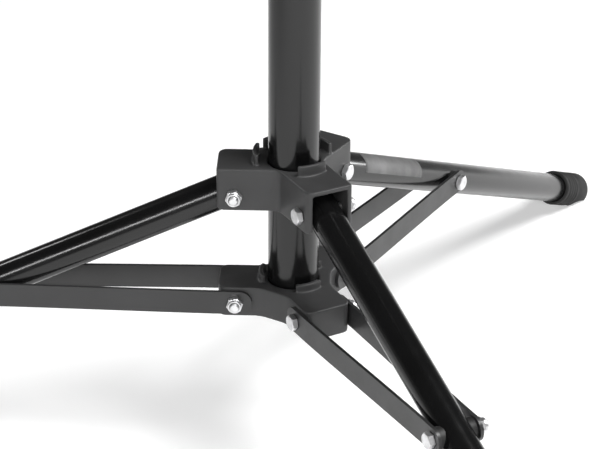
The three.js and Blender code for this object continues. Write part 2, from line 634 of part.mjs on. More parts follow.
function buildWinch() {
  add(stand, 'winch_frame', makeWinchFrame(), BAR_PAINT);
  add(stand, 'winch_clamp', makeWinchClamp(), BAR_PAINT);
  const drum = groupAt(stand, DRUM_X, 0, DRUM.z);
  add(drum, 'winch_drum', makeDrum(), STEEL);
  add(drum, 'drum_gear', makeDrumGear(), STEEL);
  const axle = join(solid(alongY(rod(6, -FRAME.half - 5, FRAME.half + 5))),
    solid(alongY(hexagon(17, -FRAME.half - 6, -FRAME.half - GAP))));
  add(drum, 'drum_axle', axle, ZINC);
  const woundHalf = DRUM.halfWidth - GAP;
  const wound = ring(DRUM.core + GAP, DRUM.wound - ROPE.r - GAP, -woundHalf, woundHalf, ROUND.medium);
  add(drum, 'rope_winding', alongY(wound), STEEL);

  const crank = groupAt(stand, PINION_X, 0, PINION_Z);
  add(crank, 'pinion_shaft', makePinionShaft(), STEEL);
  add(crank, 'crank_arm', makeCrankArm(), BAR_PAINT);
  add(crank, 'crank_grip', makeCrankGrip(), KNOB);
  add(groupAt(stand, PAWL.x, 0, PAWL.z), 'winch_pawl', makePawl(), ZINC);
}

// ---- crossbar -------------------------------------------------------------------------------
function makeCrossbar() {
  const { side, wall, half, bottom } = BAR;
  const outer = solid(block(-half, half, -side / 2, side / 2, bottom, bottom + side));
  const across = side / 2 - wall;
  const inside = solid(block(-half - 1, half + 1, -across, across, bottom + wall, bottom + side - wall));
  return cut(outer, inside);
}

function makeEndCap(direction) {
  const { side, wall, half, bottom, cap } = BAR;
  const inner = side / 2 - wall - GAP;
  const middle = bottom + side / 2;
  const lid = block(half + GAP, half + cap, -side / 2, side / 2, bottom, bottom + side);
  const spigot = block(half - 18, half + 1, -inner, inner, middle - inner, middle + inner);
  const body = join(solid(lid), solid(spigot));
  return direction > 0 ? body : body.mirror([1, 0, 0]);
}

function makeSocket() {
  const { r, bottom, floor, plate: thick, length, lip, lipTall } = SOCKET;
  const sleeve = turned([[TOP_TUBE.r + GAP, bottom], [r, bottom], [r, floor + 1], [0, floor + 1],
    [0, floor - GAP], [TOP_TUBE.r + GAP, floor - GAP], [TOP_TUBE.r + GAP, bottom]]);
  const seat = BAR.side / 2 + GAP;
  const base = solid(block(-length / 2, length / 2, -seat - lip, seat + lip, floor, floor + thick));
  const lips = [seat, -seat - lip].map((y) =>
    solid(block(-length / 2, length / 2, y, y + lip, floor + 1, floor + thick + lipTall)));
  return join(solid(sleeve), base, ...lips);
}

function buildCrossbar() {
  add(stand, 'crossbar', makeCrossbar(), BAR_PAINT);
  add(stand, 'crossbar_socket', makeSocket(), CAST_BLACK);
  add(stand, 'bar_cap_right', makeEndCap(1), NYLON);
  add(stand, 'bar_cap_left', makeEndCap(-1), NYLON);
}

// ---- rope -----------------------------------------------------------------------------------
function buildRope() {
  add(stand, 'rope_outer_run', makeOuterRope(), STEEL);
  const anchor = MIDDLE_TUBE.bottom + 20 + GAP;
  add(stand, 'rope_inner_run', rod(ROPE.r, anchor, SHEAVE.z - GAP, 8).translate(ROPE.x, 0, 0), STEEL);
}

buildBase();
buildMast();
buildWinch();
buildCrossbar();
buildRope();

export default stand;
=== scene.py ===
"""Looks for the crank lighting stand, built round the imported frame. Sizes are millimetres."""
import json
from math import acos, asin, atan2, cos, hypot, pi, radians, sin, sqrt, tan

import bmesh
import bpy
from mathutils import Matrix, Vector


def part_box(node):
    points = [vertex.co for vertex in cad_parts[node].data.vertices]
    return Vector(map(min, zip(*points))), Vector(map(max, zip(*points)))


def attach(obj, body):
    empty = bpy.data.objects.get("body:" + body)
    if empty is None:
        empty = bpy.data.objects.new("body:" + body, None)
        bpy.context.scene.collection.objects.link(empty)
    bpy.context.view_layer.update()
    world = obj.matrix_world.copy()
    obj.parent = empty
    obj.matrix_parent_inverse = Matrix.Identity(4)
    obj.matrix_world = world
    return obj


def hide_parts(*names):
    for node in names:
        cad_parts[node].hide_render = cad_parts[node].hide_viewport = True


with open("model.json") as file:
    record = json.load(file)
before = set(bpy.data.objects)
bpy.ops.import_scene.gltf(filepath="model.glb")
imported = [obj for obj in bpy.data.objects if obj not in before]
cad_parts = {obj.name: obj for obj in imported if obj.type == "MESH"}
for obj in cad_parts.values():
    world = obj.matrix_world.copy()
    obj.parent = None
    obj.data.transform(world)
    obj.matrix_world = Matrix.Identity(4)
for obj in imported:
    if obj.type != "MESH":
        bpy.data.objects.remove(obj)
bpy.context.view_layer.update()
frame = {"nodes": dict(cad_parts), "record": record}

# ---- what the frame says ----------------------------------------------------------------------
BEHAVIOUR = frame["record"]["behaviour"]
JOINT = {j["name"]: j for j in BEHAVIOUR["joints"]}
SLOTS = {s["node"]: s["material_slot"] for s in frame["record"]["subparts"]}
GAP = 0.3


def low(node):
    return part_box(node)[0] * 1000


def high(node):
    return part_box(node)[1] * 1000


def joint_at(name):
    return Vector(JOINT[name]["pos_m"]) * 1000


ARMS = {}
for arm_name in ("front_right", "rear_right", "left"):
    at = joint_at(f"leg_fold_{arm_name}")
    ARMS[arm_name] = atan2(at.y, at.x)

MAST_R = high("mast_lower_tube").y
MIDDLE_R = high("middle_tube").y
TOP_R = high("top_tube").y
LEG_PIVOT = Vector((joint_at("leg_fold_left").xy.length, 0, joint_at("leg_fold_left").z))
BRACE_PIVOT = Vector((joint_at("brace_fold_left").xy.length, 0, joint_at("brace_fold_left").z))
SHEAVE = joint_at("sheave_turn")
DRUM = joint_at("drum_turn")
PINION = joint_at("crank_turn")
PAWL = joint_at("pawl_lift")

# ---- driving dimensions of the shapes that the frame doesn't spell out ------------------------
LEG = {"r": 15, "wall": 1.5, "slope": radians(24.7), "inner": -14, "outer": 570, "bolt_at": 244,
       "boot_from": 535, "boot_to": 597, "boot_r": 18.5}
BRACE = {"height": 22, "thick": 3, "hub_face": 22.5, "leg_face": 18.2, "inner_end": 15, "outer_end": 12,
         "flat_at_hub": 20, "flat_at_leg": 16}
LEG_HUB = {"half": 21.5, "end": 66.5, "corners": (9, 3), "web": 12.41, "top": 281.5, "bottom": 241.6,
           "bore": 22.8, "channel": 16.5, "channel_from": 30, "roof": 4.5, "lower_corner": 5,
           "boss_r": 9, "boss_end": 38, "boss_z": 262}
BRACE_HUB = {"half": 22.2, "end": 66, "corners": (9, 9), "web": 28.4, "top": 166, "bottom": 137.4,
             "bore": 22.8, "wall": 5, "pocket_from": 28}
SCREW_HOLE = 4.3
CREASE = 6
LEG_CROWN = {"out": 36, "in": 32.6, "height": 10, "spans": ((-83, -37), (24, 142), (157, 203))}
BRACE_CROWN = {"out": 31, "in": 26.6, "height": 7.5, "spans": ((-84, -36), (36, 84), (156, 204))}
BOLT = {"r": 4, "flats": 13, "head": 5.3, "nut": 8, "end": 2.2}


def leg_frame():
    return Matrix.Translation(LEG_PIVOT) @ Matrix.Rotation(LEG["slope"], 4, "Y")


LEG_BOLT = leg_frame() @ Vector((LEG["bolt_at"], 0, 0))
BRACE_RUN = LEG_BOLT - BRACE_PIVOT
BRACE_LENGTH = BRACE_RUN.length
BRACE_SLOPE = atan2(BRACE_RUN.z, BRACE_RUN.x)


def brace_frame():
    return Matrix.Translation(BRACE_PIVOT) @ Matrix.Rotation(-BRACE_SLOPE, 4, "Y")


def arm_frame(angle):
    return Matrix.Rotation(angle, 4, "Z")


# ---- materials --------------------------------------------------------------------------------
def new_material(name, slot):
    material = bpy.data.materials.new(name)
    material.use_nodes = True
    material["slot"] = slot
    tree = material.node_tree
    shader = tree.nodes["Principled BSDF"]
    place = tree.nodes.new("ShaderNodeTexCoord")
    return material, tree, shader, place.outputs["Object"]


def noise(tree, vector, scale, detail=3, rough=0.5):
    node = tree.nodes.new("ShaderNodeTexNoise")
    node.inputs["Scale"].default_value = scale
    node.inputs["Detail"].default_value = detail
    node.inputs["Roughness"].default_value = rough
    tree.links.new(vector, node.inputs["Vector"])
    return node.outputs["Fac"]


def spread(tree, value, low_value, high_value, start=0.3, stop=0.7):
    node = tree.nodes.new("ShaderNodeMapRange")
    node.inputs["From Min"].default_value = start
    node.inputs["From Max"].default_value = stop
    node.inputs["To Min"].default_value = low_value
    node.inputs["To Max"].default_value = high_value
    tree.links.new(value, node.inputs["Value"])
    return node.outputs["Result"]


def two_colours(tree, value, first, second):
    node = tree.nodes.new("ShaderNodeMix")
    node.data_type = "RGBA"
    node.inputs[6].default_value = (*first, 1)
    node.inputs[7].default_value = (*second, 1)
    tree.links.new(value, node.inputs[0])
    return node.outputs[2]


def bump(tree, shader, height, distance, strength=1.0):
    node = tree.nodes.new("ShaderNodeBump")
    node.inputs["Distance"].default_value = distance
    node.inputs["Strength"].default_value = strength
    tree.links.new(height, node.inputs["Height"])
    tree.links.new(node.outputs["Normal"], shader.inputs["Normal"])


def painted(name, slot, dark, light, rough, grain_mm, depth_mm, gloss=0.5):
    """Paint or powder coat: slow colour drift, uneven gloss and an orange-peel skin."""
    material, tree, shader, place = new_material(name, slot)
    drift = spread(tree, noise(tree, place, 14, 4), 0, 1)
    tree.links.new(two_colours(tree, drift, dark, light), shader.inputs["Base Color"])
    patches = spread(tree, noise(tree, place, 45, 5, 0.6), rough[0], rough[1])
    tree.links.new(patches, shader.inputs["Roughness"])
    bump(tree, shader, noise(tree, place, 1000 / grain_mm, 2), depth_mm / 1000, 0.6)
    shader.inputs["Specular IOR Level"].default_value = gloss
    return material


def metal(name, slot, dark, light, rough, stretch=(1, 1, 1)):
    """Plated or bare steel: bright, with fine uneven brushing and faint stains."""
    material, tree, shader, place = new_material(name, slot)
    squeeze = tree.nodes.new("ShaderNodeMapping")
    squeeze.inputs["Scale"].default_value = stretch
    tree.links.new(place, squeeze.inputs["Vector"])
    vector = squeeze.outputs["Vector"]
    stain = spread(tree, noise(tree, vector, 160, 5, 0.65), 0, 1)
    tree.links.new(two_colours(tree, stain, dark, light), shader.inputs["Base Color"])
    brushing = spread(tree, noise(tree, vector, 420, 4), rough[0], rough[1])
    tree.links.new(brushing, shader.inputs["Roughness"])
    bump(tree, shader, noise(tree, vector, 1600, 2), 0.00003, 0.5)
    shader.inputs["Metallic"].default_value = 1.0
    return material


def moulded(name, slot, dark, light, rough, grain_mm, depth_mm):
    """Moulded plastic or rubber with a fine pebbled skin."""
    material, tree, shader, place = new_material(name, slot)
    drift = spread(tree, noise(tree, place, 30, 4), 0, 1)
    tree.links.new(two_colours(tree, drift, dark, light), shader.inputs["Base Color"])
    tree.links.new(spread(tree, noise(tree, place, 90, 4), rough[0], rough[1]), shader.inputs["Roughness"])
    cells = tree.nodes.new("ShaderNodeTexVoronoi")
    cells.inputs["Scale"].default_value = 1000 / grain_mm
    tree.links.new(place, cells.inputs["Vector"])
    bump(tree, shader, cells.outputs["Distance"], depth_mm / 1000, 0.5)
    return material


def grey(value, tint=0.0):
    return (value, value, value * (1 + tint))


TUBE = painted("gloss_black_tube", "tube_paint", grey(0.003), grey(0.005, 0.04), (0.15, 0.22), 2.2, 0.010)
CAST = painted("satin_black_casting", "cast_black", grey(0.036), grey(0.046, 0.02), (0.38, 0.48),
               0.7, 0.03, 0.34)
FLAT = painted("semi_gloss_black_bar", "bar_paint", grey(0.022), grey(0.030, 0.03), (0.30, 0.42),
               1.2, 0.012)
ZINC = metal("bright_zinc", "zinc_plate", grey(0.62), grey(0.84, 0.02), (0.34, 0.50))
STEEL = metal("oiled_steel", "bare_steel", grey(0.30), grey(0.46, 0.02), (0.25, 0.42))
NYLON = moulded("black_nylon", "nylon_black", grey(0.012), grey(0.018), (0.45, 0.60), 0.5, 0.01)
RUBBER = moulded("black_rubber", "rubber_black", grey(0.010), grey(0.016), (0.72, 0.88), 0.4, 0.03)
KNOB = moulded("textured_knob", "knob_plastic", grey(0.012), grey(0.017), (0.35, 0.5), 0.6, 0.03)
LABEL = moulded("foil_label", "nylon_black", grey(0.05), grey(0.16), (0.5, 0.65), 2.4, 0.006)
FOR_SLOT = {m["slot"]: m for m in (TUBE, CAST, FLAT, ZINC, STEEL, NYLON, RUBBER, KNOB)}


# ---- mesh making ------------------------------------------------------------------------------
def new_object(name, verts, faces, material, place=Matrix.Identity(4), sharp=35):
    """An object from millimetre vertices, smoothed where faces meet at under `sharp` degrees."""
    mesh = bpy.data.meshes.new(name)
    mesh.from_pydata([tuple(v) for v in verts], [], faces)
    body = bmesh.new()
    body.from_mesh(mesh)
    bmesh.ops.remove_doubles(body, verts=body.verts, dist=1e-4)
    bmesh.ops.recalc_face_normals(body, faces=body.faces)
    bmesh.ops.transform(body, matrix=Matrix.Scale(0.001, 4) @ place, verts=body.verts)
    if place.determinant() < 0:
        bmesh.ops.reverse_faces(body, faces=body.faces)
    body.to_mesh(mesh)
    body.free()
    return show(name, mesh, material, sharp)


def show(name, mesh, material, sharp=35):
    mesh.materials.clear()
    mesh.materials.append(material)
    mesh.shade_smooth()
    mesh.set_sharp_from_angle(angle=radians(sharp))
    piece = bpy.data.objects.new(name, mesh)
    bpy.context.scene.collection.objects.link(piece)
    return piece


def bevelled(piece, width, segments=3, angle=35):
    """Rounds the piece's sharp edges, in the mesh itself."""
    tool = piece.modifiers.new("round", "BEVEL")
    tool.width = width / 1000
    tool.segments = segments
    tool.limit_method = "ANGLE"
    tool.angle_limit = radians(angle)
    tool.harden_normals = False
    return baked(piece)


def baked(piece):
    view = bpy.context.evaluated_depsgraph_get()
    mesh = bpy.data.meshes.new_from_object(piece.evaluated_get(view))
    piece.modifiers.clear()
    old = piece.data
    piece.data = mesh
    bpy.data.meshes.remove(old)
    return piece


def lathe(profile, segments=96, closed=False):
    """A shape turned about Z from (radius, z) points, closed on itself or ending on the axis."""
    verts, faces = [], []
    count = len(profile)
    for i in range(segments):
        angle = 2 * pi * i / segments
        verts += [(r * cos(angle), r * sin(angle), z) for r, z in profile]
    for i in range(segments):
        j = (i + 1) % segments
        for k in range(count if closed else count - 1):
            n = (k + 1) % count
            face = [i * count + k, j * count + k, j * count + n, i * count + n]
            if profile[k][0] < 1e-6:
                face.pop(0)
            elif profile[n][0] < 1e-6:
                face.pop(2)
            faces.append(face)
    return verts, faces


def rounded(points, radius, steps=3, closed=True):
    """The same outline with its corners rounded off; a pair of coordinates each."""
    result = []
    count = len(points)
    for i, point in enumerate(points):
        here = Vector(point)
        if not closed and i in (0, count - 1):
            result.append(tuple(here))
            continue
        before = Vector(points[i - 1]) - here
        after = Vector(points[(i + 1) % count]) - here
        reach = min(radius, before.length * 0.45, after.length * 0.45)
        start = here + before.normalized() * reach
        end = here + after.normalized() * reach
        for step in range(steps + 1):
            t = step / steps
            result.append(tuple(start * (1 - t) ** 2 + here * 2 * t * (1 - t) + end * t * t))
    return result


def prism(outline, z0, z1):
    """Vertices and faces of a flat outline raised from z0 to z1."""
    count = len(outline)
    verts = [(x, y, z0) for x, y in outline] + [(x, y, z1) for x, y in outline]
    faces = [list(range(count - 1, -1, -1)), list(range(count, 2 * count))]
    faces += [[i, (i + 1) % count, count + (i + 1) % count, count + i] for i in range(count)]
    return verts, faces


def ring_of_quads(low_ring, high_ring, count):
    """Faces between two rings of vertices, given by the number of each ring's first vertex."""
    faces = []
    for i in range(count):
        j = (i + 1) % count
        faces.append([low_ring + i, low_ring + j, high_ring + j, high_ring + i])
    return faces


def arc(centre, radius, start, stop, steps):
    return [(centre[0] + radius * cos(start + (stop - start) * i / steps),
             centre[1] + radius * sin(start + (stop - start) * i / steps)) for i in range(steps + 1)]


def circle(centre, radius, steps=48):
    return arc(centre, radius, 0, 2 * pi * (steps - 1) / steps, steps - 1)


UP_TO_X = Matrix.Rotation(radians(90), 4, "Y")        # Z becomes X
UP_TO_Y = Matrix.Rotation(radians(-90), 4, "X")       # Z becomes Y
STAND_UP = Matrix.Rotation(radians(90), 4, "X")       # a plan in X and Y stands in X and Z; Z becomes -Y


def keep(piece, body, *nodes):
    """The piece rides on its body and stands for these CAD nodes, which it hides."""
    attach(piece, body)
    if nodes:
        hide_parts(*nodes)
    return piece


# ---- castings ---------------------------------------------------------------------------------
def raw_solid(shape, place=Matrix.Identity(4)):
    """A working solid for cutting and joining."""
    verts, faces = shape
    return new_object("work", verts, faces, CAST, place)


def joined(shape, place=Matrix.Identity(4)):
    return "UNION", raw_solid(shape, place)


def cut_away(shape, place=Matrix.Identity(4)):
    return "DIFFERENCE", raw_solid(shape, place)


def combine(base, steps):
    """Joins and cuts the base with each (operation, tool), then clears the tools away."""
    for operation, tool in steps:
        change = base.modifiers.new("cut", "BOOLEAN")
        change.operation = operation
        change.solver = "EXACT"
        change.object = tool
        baked(base)
        bpy.data.objects.remove(tool)
    return base


def cast(piece, name, voxel, passes, material=CAST):
    """Turns a hard-edged solid into a casting: a fine remesh, smoothed, gives soft fillets."""
    grid = piece.modifiers.new("grid", "REMESH")
    grid.mode = "VOXEL"
    grid.voxel_size = voxel / 1000
    soft = piece.modifiers.new("soft", "SMOOTH")
    soft.factor = 0.5
    soft.iterations = passes
    baked(piece)
    piece.name = name
    piece.data.name = name
    piece.data.materials.clear()
    piece.data.materials.append(material)
    piece.data.shade_smooth()
    return piece


def curve_through(corners, steps=8):
    """An outline through (x, y, reach) corners, each rounded by a curve that starts that far from it."""
    outline = []
    for i, (x, y, r) in enumerate(corners):
        here = Vector((x, y))
        before = Vector(corners[i - 1][:2]) - here
        after = Vector(corners[(i + 1) % len(corners)][:2]) - here
        start, end = here + before.normalized() * r, here + after.normalized() * r
        for step in range(steps + 1):
            t = step / steps
            outline.append(tuple(start * (1 - t) ** 2 + here * 2 * t * (1 - t) + end * t * t))
    return outline


def three_arm_plan(size):
    """The plan of a hub; web is how far along an arm the web to the next arm starts."""
    half, end, web = size["half"], size["end"], size["web"]
    before, after = size["corners"]
    corners = []
    webs_meet = web < 1.01 * half / tan(radians(60))
    for angle in ARMS.values():
        points = [] if webs_meet else [(web, -half, CREASE)]
        points += [(end, -half, before), (end, half, after), (web, half, CREASE)]
        for x, y, r in points:
            at = arm_frame(angle) @ Vector((x, y, 0))
            corners.append((at.x, at.y, r))
    return curve_through(corners)


def box_shape(x0, x1, y0, y1, z0, z1):
    return prism([(x0, y0), (x1, y0), (x1, y1), (x0, y1)], z0, z1)


def rod_shape(r, z0, z1, segments=64):
    return lathe([(0, z0), (r, z0), (r, z1), (0, z1)], segments)


def crown_steps(crown, top):
    steps = []
    for start, stop in crown["spans"]:
        first, last = radians(start), radians(stop)
        outline = arc((0, 0), crown["out"], first, last, 24) + arc((0, 0), crown["in"], last, first, 24)
        steps.append(joined(prism(outline, top - 3, top + crown["height"])))
    return steps


def pivot_holes(pivot):
    hole = rod_shape(BOLT["r"] + GAP, -30, 30, 32)
    return [cut_away(hole, arm_frame(angle) @ Matrix.Translation(pivot) @ UP_TO_Y)
            for angle in ARMS.values()]


def make_leg_hub():
    size = LEG_HUB
    top, bottom = size["top"], size["bottom"]
    plan = three_arm_plan(size)
    hub = raw_solid(prism(plan, bottom, top))
    lock = arm_frame(radians(120))
    along_screw = lock @ Matrix.Translation((0, 0, size["boss_z"])) @ UP_TO_X
    boss = raw_solid(rod_shape(size["boss_r"], 15, size["boss_end"]), along_screw)
    steps = [("UNION", boss)] + crown_steps(LEG_CROWN, top)
    for angle in ARMS.values():
        turn = arm_frame(angle)
        half, reach = size["channel"], size["channel_from"]
        inner = arc((0, 0), reach, asin(half / reach), -asin(half / reach), 16)
        channel = prism([(80, -half), (80, half)] + inner, bottom - 5, top - size["roof"])
        steps.append(cut_away(channel, turn))
        r = size["lower_corner"]
        corner = [(size["end"] - r, bottom - 3), (80, bottom - 3), (80, bottom + r)]
        corner += arc((size["end"] - r, bottom + r), r, 0, -pi / 2, 8)
        steps.append(cut_away(prism(corner, -30, 30), turn @ STAND_UP))
    steps += pivot_holes(LEG_PIVOT)
    steps.append(cut_away(rod_shape(size["bore"], bottom - 5, top + 20, 96)))
    screw = raw_solid(rod_shape(SCREW_HOLE, 0, 45), along_screw)
    steps.append(("DIFFERENCE", screw))
    return keep(cast(combine(hub, steps), "leg_hub_casting", 0.8, 12), "leg_hub", "leg_hub")


def make_brace_hub():
    size = BRACE_HUB
    top, bottom = size["top"], size["bottom"]
    plan = three_arm_plan(size)
    hub = raw_solid(prism(plan, bottom, top))
    steps = crown_steps(BRACE_CROWN, top)
    for angle in ARMS.values():
        wall, reach = size["wall"], size["pocket_from"]
        half, mouth = size["half"] - wall, size["end"] - wall
        inner = arc((0, 0), reach, asin(half / reach), -asin(half / reach), 16)
        pocket = prism([(mouth, -half), (mouth, half)] + inner, bottom - 5, top - wall)
        steps.append(cut_away(pocket, arm_frame(angle)))
    steps += pivot_holes(BRACE_PIVOT)
    steps.append(cut_away(rod_shape(size["bore"], bottom - 5, top + 20, 96)))
    return keep(cast(combine(hub, steps), "brace_hub_casting", 0.8, 12), "mast", "brace_hub")


# ---- fasteners --------------------------------------------------------------------------------
def hex_body(flats, z0, z1, cut0, cut1):
    """A hexagon from z0 to z1; cut0 and cut1 say which of its ends has its corners turned off by a cone."""
    rim = flats / 2
    seat = rim * 0.94
    slope = tan(radians(30))
    corners = circle((0, 0), flats / sqrt(3), 6)
    outline = []
    for i, (x, y) in enumerate(corners):
        next_x, next_y = corners[(i + 1) % 6]
        for step in range(8):
            t = step / 8
            outline.append((x * (1 - t) + next_x * t, y * (1 - t) + next_y * t))
    rings = []
    for z, cut, sign in ((z0, cut0, 1), (z1, cut1, -1)):
        reach = [hypot(x, y) for x, y in outline]
        drop = [(r - seat) * slope if cut else 0 for r in reach]
        shrink = [seat / r if cut else 1 for r in reach]
        face = [(x * k, y * k, z) for (x, y), k in zip(outline, shrink)]
        edge = [(x, y, z + sign * d) for (x, y), d in zip(outline, drop)]
        rings += [face, edge] if sign > 0 else [edge, face]
    return between_rings(rings)


def between_rings(rings):
    """Skins a row of rings of equal count, with a flat face on the first and the last."""
    verts = sum(rings, [])
    count = len(rings[0])
    faces = []
    for level in range(len(rings) - 1):
        faces += ring_of_quads(level * count, (level + 1) * count, count)
    faces.append(list(range(count - 1, -1, -1)))
    faces.append([(len(rings) - 1) * count + i for i in range(count)])
    return verts, faces


def merged(*shapes):
    verts, faces = [], []
    for more_verts, more_faces in shapes:
        start = len(verts)
        verts += more_verts
        faces += [[start + i for i in face] for face in more_faces]
    return verts, faces


def thread(r, z0, z1, pitch=1.25, segments=32):
    """A threaded rod's outside: one start, with a chamfered end at z1."""
    depth = 0.55
    steps = max(2, round((z1 - z0) / pitch * 8))
    verts, faces = [], []
    for k in range(steps + 1):
        z = z0 + (z1 - z0) * k / steps
        for i in range(segments):
            angle = 2 * pi * i / segments
            phase = (z / pitch - i / segments) % 1
            radius = r - depth * abs(2 * phase - 1) ** 1.5
            radius = min(radius, r - 0.9 + (z1 - z) * 1.2)
            verts.append((radius * cos(angle), radius * sin(angle), z))
    for k in range(steps):
        faces += ring_of_quads(k * segments, (k + 1) * segments, segments)
    faces.append([steps * segments + i for i in range(segments)])
    faces.append(list(range(segments - 1, -1, -1)))
    return verts, faces


def washer(r_in, r_out, z0, z1):
    return lathe(rounded([(r_in, z0), (r_out, z0), (r_out, z1), (r_in, z1)], 0.3), 64, closed=True)


def head_shapes(face):
    """A hex head with its washer face, standing out along -Z from -face."""
    flats, tall = BOLT["flats"], BOLT["head"]
    r = flats * 0.46
    washer_face = lathe([(0, -face - 0.5), (r, -face - 0.5), (r, -face), (0, -face)], 48)
    return merged(hex_body(flats, -face - tall, -face - 0.4, True, False), washer_face)


def nut_shapes(face):
    """A nylon-insert lock nut: hexagon, turned collar rolled in over the insert."""
    flats, tall = BOLT["flats"], BOLT["nut"]
    collar = flats * 0.475
    profile = [(4.1, face + tall * 0.5), (collar, face + tall * 0.5), (collar, face + tall - 0.9),
               (collar - 0.35, face + tall - 0.25), (collar - 1.1, face + tall),
               (collar - 1.6, face + tall - 0.1),
               (collar - 1.8, face + tall - 0.6), (4.1, face + tall - 0.6)]
    return merged(hex_body(flats, face, face + tall * 0.66, False, True), lathe(profile, 64, closed=True))


def insert_shape(face):
    tall = BOLT["nut"]
    return lathe([(3.9, face + tall - 1.4), (4.6, face + tall - 1.4), (4.6, face + tall - 0.45),
                  (3.9, face + tall - 0.35)], 48, closed=True)


def through_bolt(name, node, body, place, face):
    """Bolt with a washer-faced head, lock nut and insert along Y through a stack that reaches `face` on
    either side.
    """
    end = face + BOLT["nut"] + BOLT["end"]
    place = place @ UP_TO_Y @ Matrix.Rotation(radians(12), 4, "Z")
    shank = rod_shape(BOLT["r"] - 0.05, -face - 1, face + 1, 32)
    shapes = merged(head_shapes(face + 0.1), shank, thread(BOLT["r"], face, end))
    bolt = new_object(name, *shapes, ZINC, place, 28)
    keep(bolt, body, node)
    nut = new_object(f"{name}_nut", *nut_shapes(face + 0.1), ZINC, place, 28)
    keep(nut, body)
    keep(new_object(f"{name}_insert", *insert_shape(face + 0.1), NYLON, place), body)


def make_fasteners():
    for arm, angle in ARMS.items():
        turn = arm_frame(angle)
        through_bolt(f"leg_pivot_{arm}", f"leg_pivot_bolt_{arm}", "leg_hub",
                     turn @ Matrix.Translation(LEG_PIVOT), LEG_HUB["half"] + GAP)
        through_bolt(f"brace_pivot_{arm}", f"brace_pivot_bolt_{arm}", "mast",
                     turn @ Matrix.Translation(BRACE_PIVOT), BRACE["hub_face"] + BRACE["thick"] + GAP)
        face = BRACE["leg_face"] + BRACE["thick"] + GAP
        inner = BRACE["leg_face"]
        place = turn @ brace_frame() @ Matrix.Translation((BRACE_LENGTH, 0, 0)) @ UP_TO_Y
        head = merged(head_shapes(face), rod_shape(BOLT["r"] - 0.05, -face - 1, -inner, 32))
        bolt = new_object(f"brace_end_head_{arm}", *head, ZINC, place, 28)
        keep(bolt, f"brace_{arm}", f"brace_end_bolt_{arm}")
        end = face + BOLT["nut"] + BOLT["end"]
        shank = rod_shape(BOLT["r"] - 0.05, inner, face + 1, 32)
        shapes = merged(nut_shapes(face), shank, thread(BOLT["r"], face, end))
        nut = new_object(f"brace_end_locknut_{arm}", *shapes, ZINC, place, 28)
        keep(nut, f"brace_{arm}", f"brace_end_nut_{arm}")
        keep(new_object(f"brace_end_insert_{arm}", *insert_shape(face), NYLON, place), f"brace_{arm}")


# ---- legs and braces --------------------------------------------------------------------------
def tube_profile(r, wall, z0, z1, lip=0.5):
    return rounded([(r - wall, z0), (r, z0), (r, z1), (r - wall, z1)], lip)


def stations(start, stop, step):
    count = max(1, round((stop - start) / step))
    return [start + (stop - start) * i / count for i in range(count + 1)]


def make_leg(arm, angle):
    body = f"leg_{arm}"
    along = arm_frame(angle) @ leg_frame() @ UP_TO_X
    profile = tube_profile(LEG["r"], LEG["wall"], LEG["inner"], LEG["outer"])
    tube = new_object(f"leg_tube_{arm}_round", *lathe(profile, 96, closed=True), TUBE, along)
    keep(tube, body, f"leg_tube_{arm}")
    end, cap_r, plug_r = LEG["inner"], LEG["r"] - 0.6, LEG["r"] - 1.8
    plug = rounded([(0, end - 1), (cap_r, end - 1), (cap_r, end - 0.1), (plug_r, end - 0.1),
                    (plug_r, end + 12), (0, end + 12)], 0.4, closed=False)
    keep(new_object(f"leg_plug_{arm}", *lathe(plug, 64), NYLON, along), body)
    make_boot(arm, angle, along)
    make_saddles(arm, angle)


def make_boot(arm, angle, along):
    """The rubber boot: a rolled top edge, grip rings, and a sole worn flat on the floor."""
    start, stop, r = LEG["boot_from"], LEG["boot_to"], LEG["boot_r"]
    profile = [(LEG["r"] + 0.1, start + 2), (LEG["r"] + 0.5, start), (r - 0.8, start), (r, start + 1),
               (r, start + 3), (r - 0.9, start + 4.2)]
    for ring in range(4):
        z = start + 9 + ring * 6
        profile += [(r - 0.9, z), (r - 0.1, z + 0.8), (r - 0.1, z + 2.6), (r - 0.9, z + 3.4)]
    profile += [(r - 0.9, start + 36), (r, start + 38), (r, stop - 5), (r - 1.5, stop - 1.6),
                (r - 5, stop), (0, stop)]
    verts, faces = lathe([(0, LEG["outer"] - 3), (LEG["r"] + 0.1, LEG["outer"] - 3)] + profile, 96)
    flat = [(along @ Vector(v)) for v in verts]
    for v in flat:
        v.z = max(v.z, 0)
    piece = new_object(f"leg_boot_{arm}", flat, faces, RUBBER, sharp=50)
    keep(piece, f"leg_{arm}", f"leg_foot_{arm}")


def saddle(side):
    """One saddle spacer: round in plan, hollowed on the leg side to sit on the tube."""
    radius, reach = 9.5, BRACE["leg_face"] - GAP
    verts, faces = [], []
    spokes = 48
    rings = [(0.0, 0.0), (radius - 0.8, 0.0), (radius - 0.2, 0.25), (radius, 0.8)]
    for r, drop in rings:
        for k in range(spokes):
            a = 2 * pi * k / spokes
            verts.append((r * cos(a), side * (reach - drop), r * sin(a)))
    for r in (radius, radius * 0.66, radius * 0.33, 0.0):
        for k in range(spokes):
            a = 2 * pi * k / spokes
            high_z = r * sin(a)
            verts.append((r * cos(a), side * (sqrt(LEG["r"] ** 2 - high_z ** 2) + 0.02), high_z))
    for level in range(len(rings) + 3):
        faces += ring_of_quads(level * spokes, (level + 1) * spokes, spokes)
    return verts, faces


def make_saddles(arm, angle):
    place = arm_frame(angle) @ leg_frame() @ Matrix.Translation((LEG["bolt_at"], 0, 0))
    sleeve = lathe([(0, -14), (6, -14), (6, 14), (0, 14)], 32)
    piece = new_object(f"saddle_{arm}_a", *saddle(1), NYLON, place)
    keep(piece, f"leg_{arm}", f"brace_spacer_{arm}")
    keep(new_object(f"saddle_{arm}_b", *saddle(-1), NYLON, place), f"leg_{arm}")
    keep(new_object(f"leg_sleeve_{arm}", *sleeve, STEEL, place @ UP_TO_Y), f"leg_{arm}")


